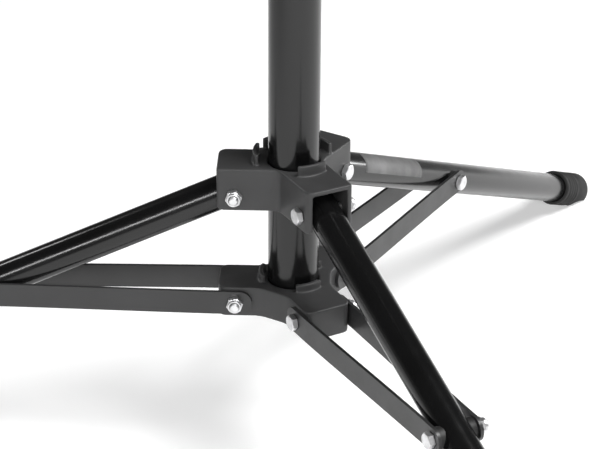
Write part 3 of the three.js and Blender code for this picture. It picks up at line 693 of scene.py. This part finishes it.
def brace_bar(side):
    """A flat bar with round ends, set in towards the leg between its two flat ends."""
    half = BRACE["height"] / 2
    left, right = -BRACE["inner_end"], BRACE_LENGTH + BRACE["outer_end"]
    round_steps = [half * (1 - cos(pi / 2 * i / 10)) for i in range(11)]
    xs = [left + d for d in round_steps]
    xs += stations(left + half, right - half, 4)[1:-1]
    xs += [right - d for d in reversed(round_steps)]
    bend_a, bend_b = BRACE["flat_at_hub"], BRACE_LENGTH - BRACE["flat_at_leg"]
    verts, faces = [], []
    across = 6
    for x in xs:
        nearest = min(x - left, right - x, half)
        tall = sqrt(max(0, half ** 2 - (half - nearest) ** 2))
        t = min(1, max(0, (x - bend_a) / (bend_b - bend_a)))
        ease = t * t * (3 - 2 * t) * 0.35 + t * 0.65
        inner = BRACE["hub_face"] + (BRACE["leg_face"] - BRACE["hub_face"]) * ease
        for y in (inner, inner + BRACE["thick"]):
            verts += [(x, side * y, tall * (2 * k / across - 1)) for k in range(across + 1)]
    row = across + 1
    for i in range(len(xs) - 1):
        base, step = i * 2 * row, 2 * row
        for k in range(across):
            faces.append([base + k, base + k + 1, base + step + k + 1, base + step + k])
            far = base + row + k
            faces.append([far, far + step, far + step + 1, far + 1])
        for k in (0, across):
            faces.append([base + k, base + row + k, base + step + row + k, base + step + k])
    return verts, faces


def make_brace(arm, angle):
    place = arm_frame(angle) @ brace_frame()
    for letter, side in (("a", -1), ("b", 1)):
        piece = new_object(f"brace_{arm}_{letter}", *brace_bar(side), FLAT, place)
        keep(bevelled(piece, 0.5, 2, 50), f"brace_{arm}", f"brace_bar_{arm}_{letter}")


# ---- mast -------------------------------------------------------------------------------------
def turned_piece(name, profile, material, body, node, place=Matrix.Identity(4), segments=128,
                 closed=True, sharp=35):
    piece = new_object(name, *lathe(profile, segments, closed), material, place, sharp)
    return keep(piece, body, *([node] if node else []))


def make_mast():
    for node, body, r in (("mast_lower_tube", "mast", MAST_R), ("middle_tube", "middle_section", MIDDLE_R),
                          ("top_tube", "top_section", TOP_R)):
        profile = tube_profile(r, 1.5, low(node).z, high(node).z)
        turned_piece(f"{node}_round", profile, TUBE, body, node)
    bottom = low("mast_bottom_plug").z
    plug = rounded([(0, bottom), (MAST_R, bottom), (MAST_R, bottom + 3.4), (20.6, bottom + 3.4),
                    (20.6, bottom + 24), (17, bottom + 24), (17, bottom + 4),
            (0, bottom + 4)], 0.6, closed=False)
    turned_piece("mast_plug", plug, NYLON, "mast", "mast_bottom_plug", closed=False)
    for node, body, hole in (("middle_tube_foot", "middle_section", 17.8),
                             ("top_tube_foot", "top_section", 14.3)):
        bottom, top, r = low(node).z, high(node).z, high(node).y
        foot = [(0, bottom), (r, bottom), (r, top), (hole, top), (hole, bottom + 6), (0, bottom + 6)]
        turned_piece(f"{node}_round", foot, NYLON, body, node, closed=False)


# ---- knobs ------------------------------------------------------------------------------------
def lobed_knob(name, node, body, place, seat, length, radius, lobes=5):
    """A lobed knob along X: round neck at the seat, rounded lobes, and a shallow dished cap."""
    depth = radius * 0.12
    end = seat + length
    round_neck = [(seat, radius * 0.56), (seat + 0.4, radius * 0.6), (seat + 3.6, radius * 0.6)]
    lobed = [(seat + 4, 3.2), (seat + 4.3, 1.4), (seat + 5.2, 0.4), (seat + 6.6, 0), (end - 4, 0.2),
             (end - 2, 0.8), (end - 0.7, 2.0), (end - 0.1, 3.6)]
    dish = [(end, radius * 0.56), (end - 0.3, radius * 0.52), (end - 1.1, radius * 0.49),
            (end - 1.1, radius * 0.2), (end - 0.6, radius * 0.12)]
    count = lobes * 20
    rings = []
    for x, r in round_neck:
        rings.append([(x, r, 2 * pi * i / count) for i in range(count)])
    for x, inset in lobed:
        ring = []
        for i in range(count):
            angle = 2 * pi * i / count
            ring.append((x, radius - depth + depth * cos(lobes * angle) - inset, angle))
        rings.append(ring)
    for x, r in dish:
        rings.append([(x, r, 2 * pi * i / count) for i in range(count)])
    verts = [(x, r * sin(a), -r * cos(a)) for ring in rings for x, r, a in ring]
    faces = []
    for level in range(len(rings) - 1):
        faces += ring_of_quads(level * count, (level + 1) * count, count)
    faces.append(list(range(count)))
    faces.append([(len(rings) - 1) * count + i for i in range(count)])
    keep(new_object(name, verts, faces, KNOB, place, 50), body, node)
    pin = lathe([(0, end - 1.2), (2.6, end - 1.2), (2.6, end - 0.5), (0, end - 0.2)], 32)
    keep(new_object(f"{name}_insert", *pin, ZINC, place @ UP_TO_X), body)


def make_knobs():
    rear = arm_frame(radians(120)) @ Matrix.Translation((0, 0, LEG_HUB["boss_z"]))
    lobed_knob("hub_knob_grip", "hub_lock_knob", "hub_knob", rear, 38.3, 18, 12)
    for name, node, body, seat, length, radius in (
            ("mast_knob_grip", "mast_lock_knob", "mast_knob", 44.3, 26, 20),
            ("middle_knob_grip", "middle_lock_knob", "middle_knob", 36.3, 24, 17)):
        place = arm_frame(pi) @ Matrix.Translation((0, 0, joint_at(f"{body}_turn").z))
        lobed_knob(name, node, body, place, seat, length, radius)


# ---- mast head and collar ---------------------------------------------------------------------
def hull_of_circles(circles, steps=48):
    """The outline round [x, y, radius] circles, as if a band were stretched over them."""
    cloud = set()
    for x, y, r in circles:
        cloud.update((round(px, 4), round(py, 4)) for px, py in circle((x, y), r, steps))
    points = sorted(cloud)

    def half(ordered):
        hull = []
        for point in ordered:
            while len(hull) > 1 and turn_of(hull[-2], hull[-1], point) <= 1e-9:
                hull.pop()
            hull.append(point)
        return hull[:-1]

    return half(points) + half(points[::-1])


def turn_of(o, a, b):
    return (a[0] - o[0]) * (b[1] - o[1]) - (a[1] - o[1]) * (b[0] - o[0])


def standing(outline, y0, y1):
    """A plan in X and Z, from y0 to y1."""
    return raw_solid(prism(outline, -y1, -y0), STAND_UP)


def across_rod(r, x, z, half, steps=48):
    return raw_solid(rod_shape(r, -half, half, steps), Matrix.Translation((x, 0, z)) @ UP_TO_Y)


def make_mast_head():
    r, bottom, cap = 29, low("mast_head").z, 1456
    shell = lathe([(MAST_R + GAP, bottom), (r, bottom), (r, cap - 3), (r - 3, cap), (MIDDLE_R + 0.7, cap),
                   (MIDDLE_R + 0.7, 1450.3), (MAST_R + GAP, 1450.3)], 96, closed=True)
    ears = hull_of_circles([(SHEAVE.x, SHEAVE.z, 10), (26, bottom + 6, 0), (26, cap, 0), (36, cap - 22, 4)])
    along_screw = Matrix.Translation((0, 0, bottom + 22)) @ Matrix.Rotation(pi, 4, "Z") @ UP_TO_X
    steps = [("UNION", standing(ears, 5, 9)), ("UNION", standing(ears, -9, -5)),
             joined(box_shape(25, 34, -6, 6, bottom + 8, cap - 16)),
             joined(rod_shape(9, 25, 44), along_screw),
             joined(lathe(rounded([(28, bottom + 2), (30.5, bottom + 2), (30.5, bottom + 7),
                                                (28, bottom + 7)], 1), 96, closed=True)),
             ("DIFFERENCE", across_rod(5.3, SHEAVE.x, SHEAVE.z, 15)),
             cut_away(box_shape(15, 25, -3, 3, 1449, cap + 5)),
             cut_away(rod_shape(SCREW_HOLE, 15, 50), along_screw),
             cut_away(rod_shape(MAST_R + GAP, bottom - 5, 1450.3, 96))]
    head = cast(combine(raw_solid(shell), steps), "mast_head_casting", 0.9, 4)
    keep(head, "mast", "mast_head")


def make_middle_collar():
    r, bottom, top = high("middle_collar").y, low("middle_collar").z, high("middle_collar").z
    shell = lathe([(MIDDLE_R + GAP, bottom), (r, bottom), (r, top - 3), (r - 3, top), (TOP_R + GAP, top),
                   (TOP_R + GAP, 1545.3), (MIDDLE_R + GAP, 1545.3)], 96, closed=True)
    along_screw = Matrix.Translation((0, 0, bottom + 18)) @ Matrix.Rotation(pi, 4, "Z") @ UP_TO_X
    steps = [joined(rod_shape(8, 20, 36), along_screw),
             cut_away(rod_shape(SCREW_HOLE, 12, 40), along_screw),
             cut_away(rod_shape(MIDDLE_R + GAP, bottom - 5, 1545.3, 96))]
    collar = cast(combine(raw_solid(shell), steps), "middle_collar_casting", 0.8, 4)
    keep(collar, "middle_section", "middle_collar")


# ---- rope -------------------------------------------------------------------------------------
ROPE = {"r": 1.25, "strands": 6, "lay": 16, "step": 2.0}


def rope_sweep(path):
    """A laid wire rope along millimetre points: six strands that twist once every lay length."""
    sides = ROPE["strands"] * 4
    verts, faces = [], []
    run = 0
    side = Vector((0, 1, 0)) if abs((path[1] - path[0]).normalized().y) < 0.9 else Vector((1, 0, 0))
    for i, point in enumerate(path):
        ahead = path[min(i + 1, len(path) - 1)] - path[max(i - 1, 0)]
        ahead.normalize()
        side = (side - ahead * side.dot(ahead)).normalized()
        up = ahead.cross(side)
        if i:
            run += (point - path[i - 1]).length
        twist = 2 * pi * run / ROPE["lay"]
        for k in range(sides):
            angle = 2 * pi * k / sides + twist
            r = ROPE["r"] * (0.88 + 0.12 * cos(2 * pi * k * ROPE["strands"] / sides))
            verts.append(point + side * r * cos(angle) + up * r * sin(angle))
    for i in range(len(path) - 1):
        faces += ring_of_quads(i * sides, (i + 1) * sides, sides)
    faces.append(list(range(sides)))
    faces.append([(len(path) - 1) * sides + k for k in range(sides)])
    return verts, faces


def helix(radius, y0, y1, pitch, start):
    turns = abs(y1 - y0) / pitch
    count = round(turns * 2 * pi * radius / ROPE["step"])
    points = []
    for i in range(count + 1):
        angle = start + 2 * pi * turns * i / count
        y = y0 + (y1 - y0) * i / count
        points.append(DRUM + Vector((radius * cos(angle), y, radius * sin(angle))))
    return points


def make_ropes():
    inner, outer = helix(19.5, -20, 20, 2.55, 0), helix(21.9, 19.6, 1.4, 2.55, pi / 2)
    for name, path in (("rope_base_layer", inner), ("rope_second_layer", outer)):
        piece = new_object(name, *rope_sweep(path), STEEL, sharp=80)
        keep(piece, "drum", *(["rope_winding"] if name == "rope_base_layer" else []))
    pitch_r = 20
    far_x = SHEAVE.x + pitch_r
    path = [Vector((far_x, 0, z)) for z in stations(DRUM.z, SHEAVE.z, ROPE["step"])]
    half_turn = arc((SHEAVE.x, SHEAVE.z), pitch_r, 0, pi, 32)[1:]
    path += [Vector((x, 0, z)) for x, z in half_turn]
    keep(new_object("rope_outer", *rope_sweep(path), STEEL, sharp=80), "mast", "rope_outer_run")


# ---- winch ------------------------------------------------------------------------------------
GEAR = {"module": 2, "pressure": radians(25), "addendum": 0.8, "dedendum": 1.1, "slack": 0.15,
        "y0": 24.8, "y1": 30.8, "wheel": 48, "pinion": 12}
FRAME = {"x0": 22.8, "plate": 3, "half": 38, "bottom": 985, "top": 1150}
PINION_ANGLE = atan2(PINION.z - DRUM.z, PINION.x - DRUM.x)


def gear_outline(teeth, tooth_at, steps=5):
    pitch = GEAR["module"] * teeth / 2
    base = pitch * cos(GEAR["pressure"])
    tip = pitch + GEAR["addendum"] * GEAR["module"]
    root = pitch - GEAR["dedendum"] * GEAR["module"]
    start = max(base, root)

    def involute(r):
        angle = acos(min(1, base / r))
        return tan(angle) - angle

    def half_at(r):
        return pi / (2 * teeth) - GEAR["slack"] / pitch + involute(pitch) - involute(r)

    outline = []
    radii = [start + (tip - start) * i / steps for i in range(steps + 1)]
    for tooth in range(teeth):
        centre = tooth_at + 2 * pi * tooth / teeth
        flank = [(r, -half_at(r)) for r in radii] + [(r, half_at(r)) for r in reversed(radii)]
        if root < start - 0.01:
            flank = [(root, -half_at(start))] + flank + [(root, half_at(start))]
        outline += [(r * cos(centre + a), r * sin(centre + a)) for r, a in flank]
    return outline


def sheet(name, node, body, base, steps, bevel, material=None):
    piece = combine(base, steps)
    piece.name = name
    piece.data.materials.clear()
    piece.data.materials.append(material or FLAT)
    bevelled(piece, bevel, 2, 40)
    piece.data.shade_smooth()
    piece.data.set_sharp_from_angle(angle=radians(35))
    return keep(piece, body, *([node] if node else []))


def make_winch_frame():
    x0, thick, half = FRAME["x0"], FRAME["plate"], FRAME["half"]
    side = hull_of_circles([(x0 + 2, FRAME["bottom"], 2), (x0 + 2, FRAME["top"], 2), (DRUM.x, DRUM.z, 20),
                            (PINION.x, PINION.z, 17), (PAWL.x, PAWL.z, 12)])
    back = raw_solid(box_shape(x0, x0 + thick, -half, half, FRAME["bottom"], FRAME["top"]))
    steps = [("UNION", standing(side, half - thick, half)), ("UNION", standing(side, -half, thick - half))]
    for r, at in ((6.3, DRUM), (7.3, PINION), (4.3, PAWL)):
        steps.append(("DIFFERENCE", across_rod(r, at.x, at.z, half + 5)))
    sheet("winch_frame_plate", "winch_frame", "mast", back, steps, 0.7)
    wall, inner = 4, MAST_R + GAP
    bow = prism(arc((0, 0), inner + wall, radians(35), radians(325), 72)
                + arc((0, 0), inner, radians(325), radians(35), 72), 1030, 1095)
    ears = raw_solid(box_shape(x0 - GAP - wall, x0 - GAP, -half, half, 1030, 1095))
    bore = raw_solid(rod_shape(inner, 1020, 1105, 96))
    sheet("winch_clamp_bow", "winch_clamp", "mast", ears, [joined(bow), ("DIFFERENCE", bore)], 0.6)
    for y in (-32, 32):
        for z in (1044, 1081):
            place = Matrix.Translation((x0 + thick, y, z)) @ Matrix.Rotation(pi, 4, "Y") @ UP_TO_X
            head = merged(head_shapes(0), washer(4.1, 7.6, -0.1, 0.1))
            keep(new_object(f"clamp_bolt_{'ab'[y > 0]}{z}", *head, ZINC, place, 28), "mast")
            behind = Matrix.Translation((x0 - GAP - wall, y, z)) @ Matrix.Rotation(pi, 4, "Z") @ UP_TO_X
            nut = merged(nut_shapes(0), thread(BOLT["r"], 0, BOLT["nut"] + 1.5))
            keep(new_object(f"clamp_nut_{'ab'[y > 0]}{z}", *nut, ZINC, behind, 28), "mast")


def make_drum():
    core, flange, half, thick, bore = 17, 36, 22, 2.5, 6.3
    outer = half + thick
    profile = rounded([(bore, -outer), (flange, -outer), (flange, -half), (core, -half), (core, half),
                       (flange, half), (flange, outer), (bore, outer)], 0.8)
    turned_piece("winch_drum_spool", profile, STEEL, "drum", "winch_drum",
                 Matrix.Translation(DRUM) @ UP_TO_Y)
    wheel = raw_solid(prism(gear_outline(GEAR["wheel"], PINION_ANGLE), -GEAR["y1"], -GEAR["y0"]),
                      Matrix.Translation(DRUM) @ STAND_UP)
    steps = [("DIFFERENCE", across_rod(6.3, DRUM.x, DRUM.z, 60))]
    for k in range(6):
        angle = pi * k / 3 + 0.3
        steps.append(("DIFFERENCE", across_rod(7, DRUM.x + 29 * cos(angle), DRUM.z + 29 * sin(angle), 60)))
    sheet("drum_gear_wheel", "drum_gear", "drum", wheel, steps, 0.3, STEEL)
    half = FRAME["half"]
    axle = merged(rod_shape(6, -half - 1, half + 3, 48), hex_body(17, -half - 6, -half - GAP, True, False),
                  washer(6.1, 12, half + 0.2, half + 1.8),
                  hex_body(17, half + 1.8, half + 4.6, False, True))
    bolt = new_object("drum_axle_bolt", *axle, ZINC, Matrix.Translation(DRUM) @ UP_TO_Y, 28)
    keep(bolt, "mast", "drum_axle")


def pinion_round(r, y0, y1, lip):
    """A solid round on the pinion's axis with its ends rounded off."""
    profile = rounded([(0, y0), (r, y0), (r, y1), (0, y1)], lip, closed=False)
    return raw_solid(lathe(profile, 64), Matrix.Translation(PINION) @ UP_TO_Y)


def make_crank():
    length, y0, y1, width = 180, 46, 52, 24
    half = FRAME["half"]
    facing = PINION_ANGLE + pi + pi / GEAR["pinion"]
    shaft = prism(gear_outline(GEAR["pinion"], facing, 8), -GEAR["y1"] - 1, 1 - GEAR["y0"])
    gear = raw_solid(shaft, Matrix.Translation(PINION) @ STAND_UP)
    rod = pinion_round(7, -half - 4, y1 + 8, 0.8)
    sheet("pinion_and_shaft", "pinion_shaft", "crank", rod, [("UNION", gear)], 0.25, STEEL)
    x, z = PINION.x, PINION.z
    arm = standing(hull_of_circles([(x, z, width / 2), (x, z - length, width / 2 - 2)]), y0, y1)
    steps = [("UNION", pinion_round(13, y0 - 4, y1 + 2, 1)), ("DIFFERENCE", across_rod(7.3, x, z, 80))]
    sheet("crank_arm_bar", "crank_arm", "crank", arm, steps, 0.9)
    low_end = Matrix.Translation((x, 0, z - length)) @ UP_TO_Y
    spindle = lathe([(0, y1 - 1), (5, y1 - 1), (5, 162), (8, 162), (8, 163.2), (7.2, 164.2),
                     (3, 164.6), (0, 164.6)], 48)
    keep(new_object("crank_spindle", *spindle, ZINC, low_end, 30), "crank")
    nut = hex_body(19, y1 + 2.2, y1 + 7.6, False, True)
    keep(new_object("crank_nut", *nut, ZINC, Matrix.Translation(PINION) @ UP_TO_Y, 28), "crank")
    profile = [(5.4, 54), (10.4, 54), (12.4, 55.2), (13, 57.5)]
    for k in range(6):
        y = 64 + k * 14
        swell = 14 - 0.5 * abs(k - 2.5) / 2.5
        profile += [(swell, y), (swell, y + 7), (swell - 0.9, y + 9.2), (swell - 0.9, y + 11)]
    profile += [(13, 152), (12.4, 156.5), (10, 160), (5.4, 160)]
    turned_piece("crank_grip_handle", profile, KNOB, "grip", "crank_grip", low_end, sharp=40)


def make_pawl():
    at = Matrix.Translation((PAWL.x, 0, PAWL.z))
    nose = hull_of_circles([(0, 0, 8), (28, -6.2, 2.2)])
    half = FRAME["half"]
    lever = hull_of_circles([(0, 0, 7), (-4, 26, 5)])
    body = raw_solid(prism(nose, -GEAR["y1"], -GEAR["y0"]), at @ STAND_UP)
    pin = raw_solid(rod_shape(4, GEAR["y0"] + 1, half + 4), at @ UP_TO_Y)
    tab = raw_solid(prism(lever, -half - 4, -half - 1), at @ STAND_UP)
    sheet("pawl_and_lever", "winch_pawl", "pawl", body, [("UNION", pin), ("UNION", tab)], 0.5, ZINC)


# ---- sheave -----------------------------------------------------------------------------------
def make_sheave():
    place = Matrix.Translation(SHEAVE) @ UP_TO_Y
    rope_seat = 17.85
    groove = [(rope_seat + (1 - cos(a)) * 2.2, 1.9 * sin(a) / sin(1.2)) for a in
              [1.2 - 2.4 * i / 10 for i in range(11)]]
    profile = [(5.3, -4), (20.4, -4), (21.2, -3.4), (21.2, -2.9)] + groove[::-1] + [
        (21.2, 2.9), (21.2, 3.4), (20.4, 4), (16, 4), (15, 2.6), (9, 2.6), (8, 4), (5.3, 4)]
    turned_piece("sheave_wheel", profile, STEEL, "sheave", "rope_sheave", place)
    pin = [(0, -12.5), (7.2, -12.5), (8, -11.8), (8, -9.5), (5, -9.5), (5, 10), (4.3, 10.2), (4.3, 10.9),
           (5, 11.1), (4.6, 12), (0, 12)]
    keep(new_object("sheave_axle", *lathe(pin, 64), ZINC, place, 30), "mast", "sheave_pin")


# ---- crossbar ---------------------------------------------------------------------------------
BAR = {"side": 30, "wall": 2, "half": 620}


def square(half, radius):
    return rounded([(-half, -half), (half, -half), (half, half), (-half, half)], radius, 5)


def make_crossbar():
    half, mid = BAR["side"] / 2, (low("crossbar").z + high("crossbar").z) / 2
    place = Matrix.Translation((0, 0, mid)) @ UP_TO_X
    outer, inner = square(half, 3.2), square(half - BAR["wall"], 1.6)
    verts, faces = [], []
    count = len(outer)
    for x in (-BAR["half"], BAR["half"]):
        verts += [(px, py, x) for px, py in outer] + [(px, py, x) for px, py in inner]
    for i in range(count):
        j = (i + 1) % count
        a, b, c, d = 0, count, 2 * count, 3 * count
        faces += [[a + i, a + j, c + j, c + i], [b + j, b + i, d + i, d + j],
                  [a + j, a + i, b + i, b + j], [c + i, c + j, d + j, d + i]]
    bar = new_object("crossbar_tube", verts, faces, FLAT, place, 30)
    keep(bar, "top_section", "crossbar")
    for name, side in (("right", 1), ("left", -1)):
        face = BAR["half"] + GAP
        layers = [(half, face), (half, face + 1.0), (half - 0.8, face + 1.7), (half - 4, face + 1.7),
                  (half - 4.6, face + 1.2)]
        verts, faces = [], []
        for reach, x in layers:
            verts += [(px, py, side * x) for px, py in square(reach, 3.2)]
        for level in range(len(layers) - 1):
            faces += ring_of_quads(level * count, (level + 1) * count, count)
        faces.append(list(range(count)))
        faces.append([(len(layers) - 1) * count + i for i in range(count)])
        cap = new_object(f"bar_cap_{name}_moulded", verts, faces, NYLON, place, 40)
        keep(cap, "top_section", f"bar_cap_{name}")


def make_socket():
    bottom, r, floor, thick, long, seat = low("crossbar_socket").z, 19, 1640, 6, 35, 15.3
    sleeve = lathe([(0, bottom), (r, bottom), (r, floor + 1), (0, floor + 1)], 96)
    steps = [cut_away(rod_shape(TOP_R + GAP, bottom - 5, floor - GAP, 96)),
             joined(box_shape(-long, long, -seat - 4, seat + 4, floor, floor + thick))]
    steps += [joined(box_shape(-long, long, y, y + 4, floor + 1, floor + thick + 18))
              for y in (seat, -seat - 4)]
    for x in (-1, 1):
        gusset = [(x * (r - 2), floor + 1), (x * (long - 3), floor + 1), (x * (r - 2), floor - 22)]
        steps.append(("UNION", standing(gusset if x < 0 else gusset[::-1], -2.5, 2.5)))
    socket = cast(combine(raw_solid(sleeve), steps), "crossbar_socket_casting", 0.9, 4)
    keep(socket, "top_section", "crossbar_socket")
    for x in (-24, 24):
        place = Matrix.Translation((x, 0, floor + thick + 9)) @ UP_TO_Y
        face = seat + 4
        end = face + BOLT["nut"] + 1.5
        bolt = merged(head_shapes(face), nut_shapes(face), thread(BOLT["r"], face, end))
        keep(new_object(f"bar_bolt_{'left' if x < 0 else 'right'}", *bolt, ZINC, place, 28), "top_section")


# ---- label ------------------------------------------------------------------------------------
def make_label():
    """A blank foil label wrapped part way round the rear leg."""
    start, stop, half_angle, r = 54, 172, radians(40), LEG["r"] + 0.06
    place = arm_frame(ARMS["rear_right"]) @ leg_frame() @ Matrix.Rotation(radians(52), 4, "X")
    verts, faces = [], []
    rows, columns = 24, 24
    for i in range(rows + 1):
        x = start + (stop - start) * i / rows
        for k in range(columns + 1):
            a = half_angle * (2 * k / columns - 1)
            verts.append((x, -r * sin(a), r * cos(a)))
    for i in range(rows):
        for k in range(columns):
            n = i * (columns + 1) + k
            faces.append([n, n + 1, n + columns + 2, n + columns + 1])
    piece = new_object("leg_label_blank", verts, faces, LABEL, place)
    thick = piece.modifiers.new("thick", "SOLIDIFY")
    thick.thickness = 0.00012
    thick.offset = 0
    keep(baked(piece), "leg_rear_right")


def finish_frame_nodes():
    """CAD nodes that keep their own mesh get their slot's material."""
    for name, node in frame["nodes"].items():
        if node.hide_render:
            continue
        node.data.materials.clear()
        node.data.materials.append(FOR_SLOT[SLOTS[name]])


# ---- stage ------------------------------------------------------------------------------------
CAMERA = {"lens": 143.4, "sensor": 36.0, "turn": 1.41, "roll": 0.4, "elevation": 27.02,
          "at": (5.7, -1876.6, 1175.3)}


def make_camera():
    turn = Matrix.Rotation(radians(CAMERA["turn"]), 3, "Z")
    elevation = radians(CAMERA["elevation"])
    forward = turn @ Vector((0, cos(elevation), -sin(elevation)))
    right = turn @ Vector((1, 0, 0))
    up = right.cross(forward)
    roll = radians(CAMERA["roll"])
    rolled_right = right * cos(roll) + up * sin(roll)
    rolled_up = up * cos(roll) - right * sin(roll)
    data = bpy.data.cameras.new("camera")
    data.lens = CAMERA["lens"]
    data.sensor_width = CAMERA["sensor"]
    data.clip_end = 50
    camera = bpy.data.objects.new("camera", data)
    axes = Matrix((rolled_right, rolled_up, -forward)).transposed().to_4x4()
    camera.matrix_world = Matrix.Translation(turn @ Vector(CAMERA["at"]) * 0.001) @ axes
    bpy.context.scene.collection.objects.link(camera)
    bpy.context.scene.camera = camera


def area_light(name, at, target, size, power, colour=(1, 1, 1)):
    data = bpy.data.lights.new(name, "AREA")
    data.shape = "RECTANGLE"
    data.size, data.size_y = size
    data.energy = power
    data.color = colour
    lamp = bpy.data.objects.new(name, data)
    lamp.location = at
    lamp.rotation_mode = "QUATERNION"
    lamp.rotation_quaternion = (Vector(target) - Vector(at)).to_track_quat("-Z", "Y")
    bpy.context.scene.collection.objects.link(lamp)
    return lamp


def make_stage():
    floor = bpy.data.meshes.new("floor")
    side = 14
    corners = [(-side, -side, 0), (side, -side, 0), (side, side, 0), (-side, side, 0)]
    floor.from_pydata(corners, [], [(0, 1, 2, 3)])
    plane = bpy.data.objects.new("floor", floor)
    plane.location.z = -0.0005
    bpy.context.scene.collection.objects.link(plane)
    white = bpy.data.materials.new("white_floor")
    white.use_nodes = True
    shader = white.node_tree.nodes["Principled BSDF"]
    shader.inputs["Base Color"].default_value = (0.8, 0.8, 0.8, 1)
    shader.inputs["Roughness"].default_value = 0.9
    shader.inputs["Emission Color"].default_value = (1, 1, 1, 1)
    place = white.node_tree.nodes.new("ShaderNodeTexCoord")
    parts = white.node_tree.nodes.new("ShaderNodeSeparateXYZ")
    white.node_tree.links.new(place.outputs["Object"], parts.inputs["Vector"])
    glow = spread(white.node_tree, parts.outputs["X"], 0.14, 0.36, -0.75, -0.42)
    white.node_tree.links.new(glow, shader.inputs["Emission Strength"])
    floor.materials.append(white)


def make_world():
    """A pale horizon under a dark ceiling; the camera itself sees only the pale backdrop."""
    world = bpy.data.worlds.new("studio")
    world.use_nodes = True
    tree = world.node_tree
    place = tree.nodes.new("ShaderNodeTexCoord")
    parts = tree.nodes.new("ShaderNodeSeparateXYZ")
    tree.links.new(place.outputs["Generated"], parts.inputs["Vector"])
    fade = spread(tree, parts.outputs["Z"], HORIZON, CEILING, 0.02, 0.3)
    path = tree.nodes.new("ShaderNodeLightPath")
    seen = tree.nodes.new("ShaderNodeMix")
    tree.links.new(path.outputs["Is Camera Ray"], seen.inputs[0])
    tree.links.new(fade, seen.inputs[2])
    seen.inputs[3].default_value = 1.0
    tree.links.new(seen.outputs[0], tree.nodes["Background"].inputs["Strength"])
    tree.nodes["Background"].inputs["Color"].default_value = (1, 1, 1, 1)
    bpy.context.scene.world = world


HORIZON = 0.3
CEILING = 0.05
LIGHTS = (("right_back_softbox", (2.9, 1.7, 0.9), (0.5, 1.4), 45),
          ("left_back_strip", (-2.6, 2.0, 1.6), (0.3, 2.2), 25),
          ("front_strip", (-0.3, -2.7, 1.55), (4.6, 0.24), 70),
          ("high_key", (1.5, -0.6, 2.8), (1.1, 1.1), 85))


def make_lights():
    for name, at, size, power in LIGHTS:
        area_light(name, at, (0, 0, 0.25), size, power)
    bpy.context.scene.view_settings.view_transform = "Standard"


make_camera()
make_stage()
make_world()
make_lights()
make_leg_hub()
make_brace_hub()
make_fasteners()
for arm_name, arm_angle in ARMS.items():
    make_leg(arm_name, arm_angle)
    make_brace(arm_name, arm_angle)
make_mast()
make_knobs()
make_mast_head()
make_middle_collar()
make_ropes()
make_winch_frame()
make_drum()
make_crank()
make_pawl()
make_sheave()
make_crossbar()
make_socket()
make_label()
finish_frame_nodes()
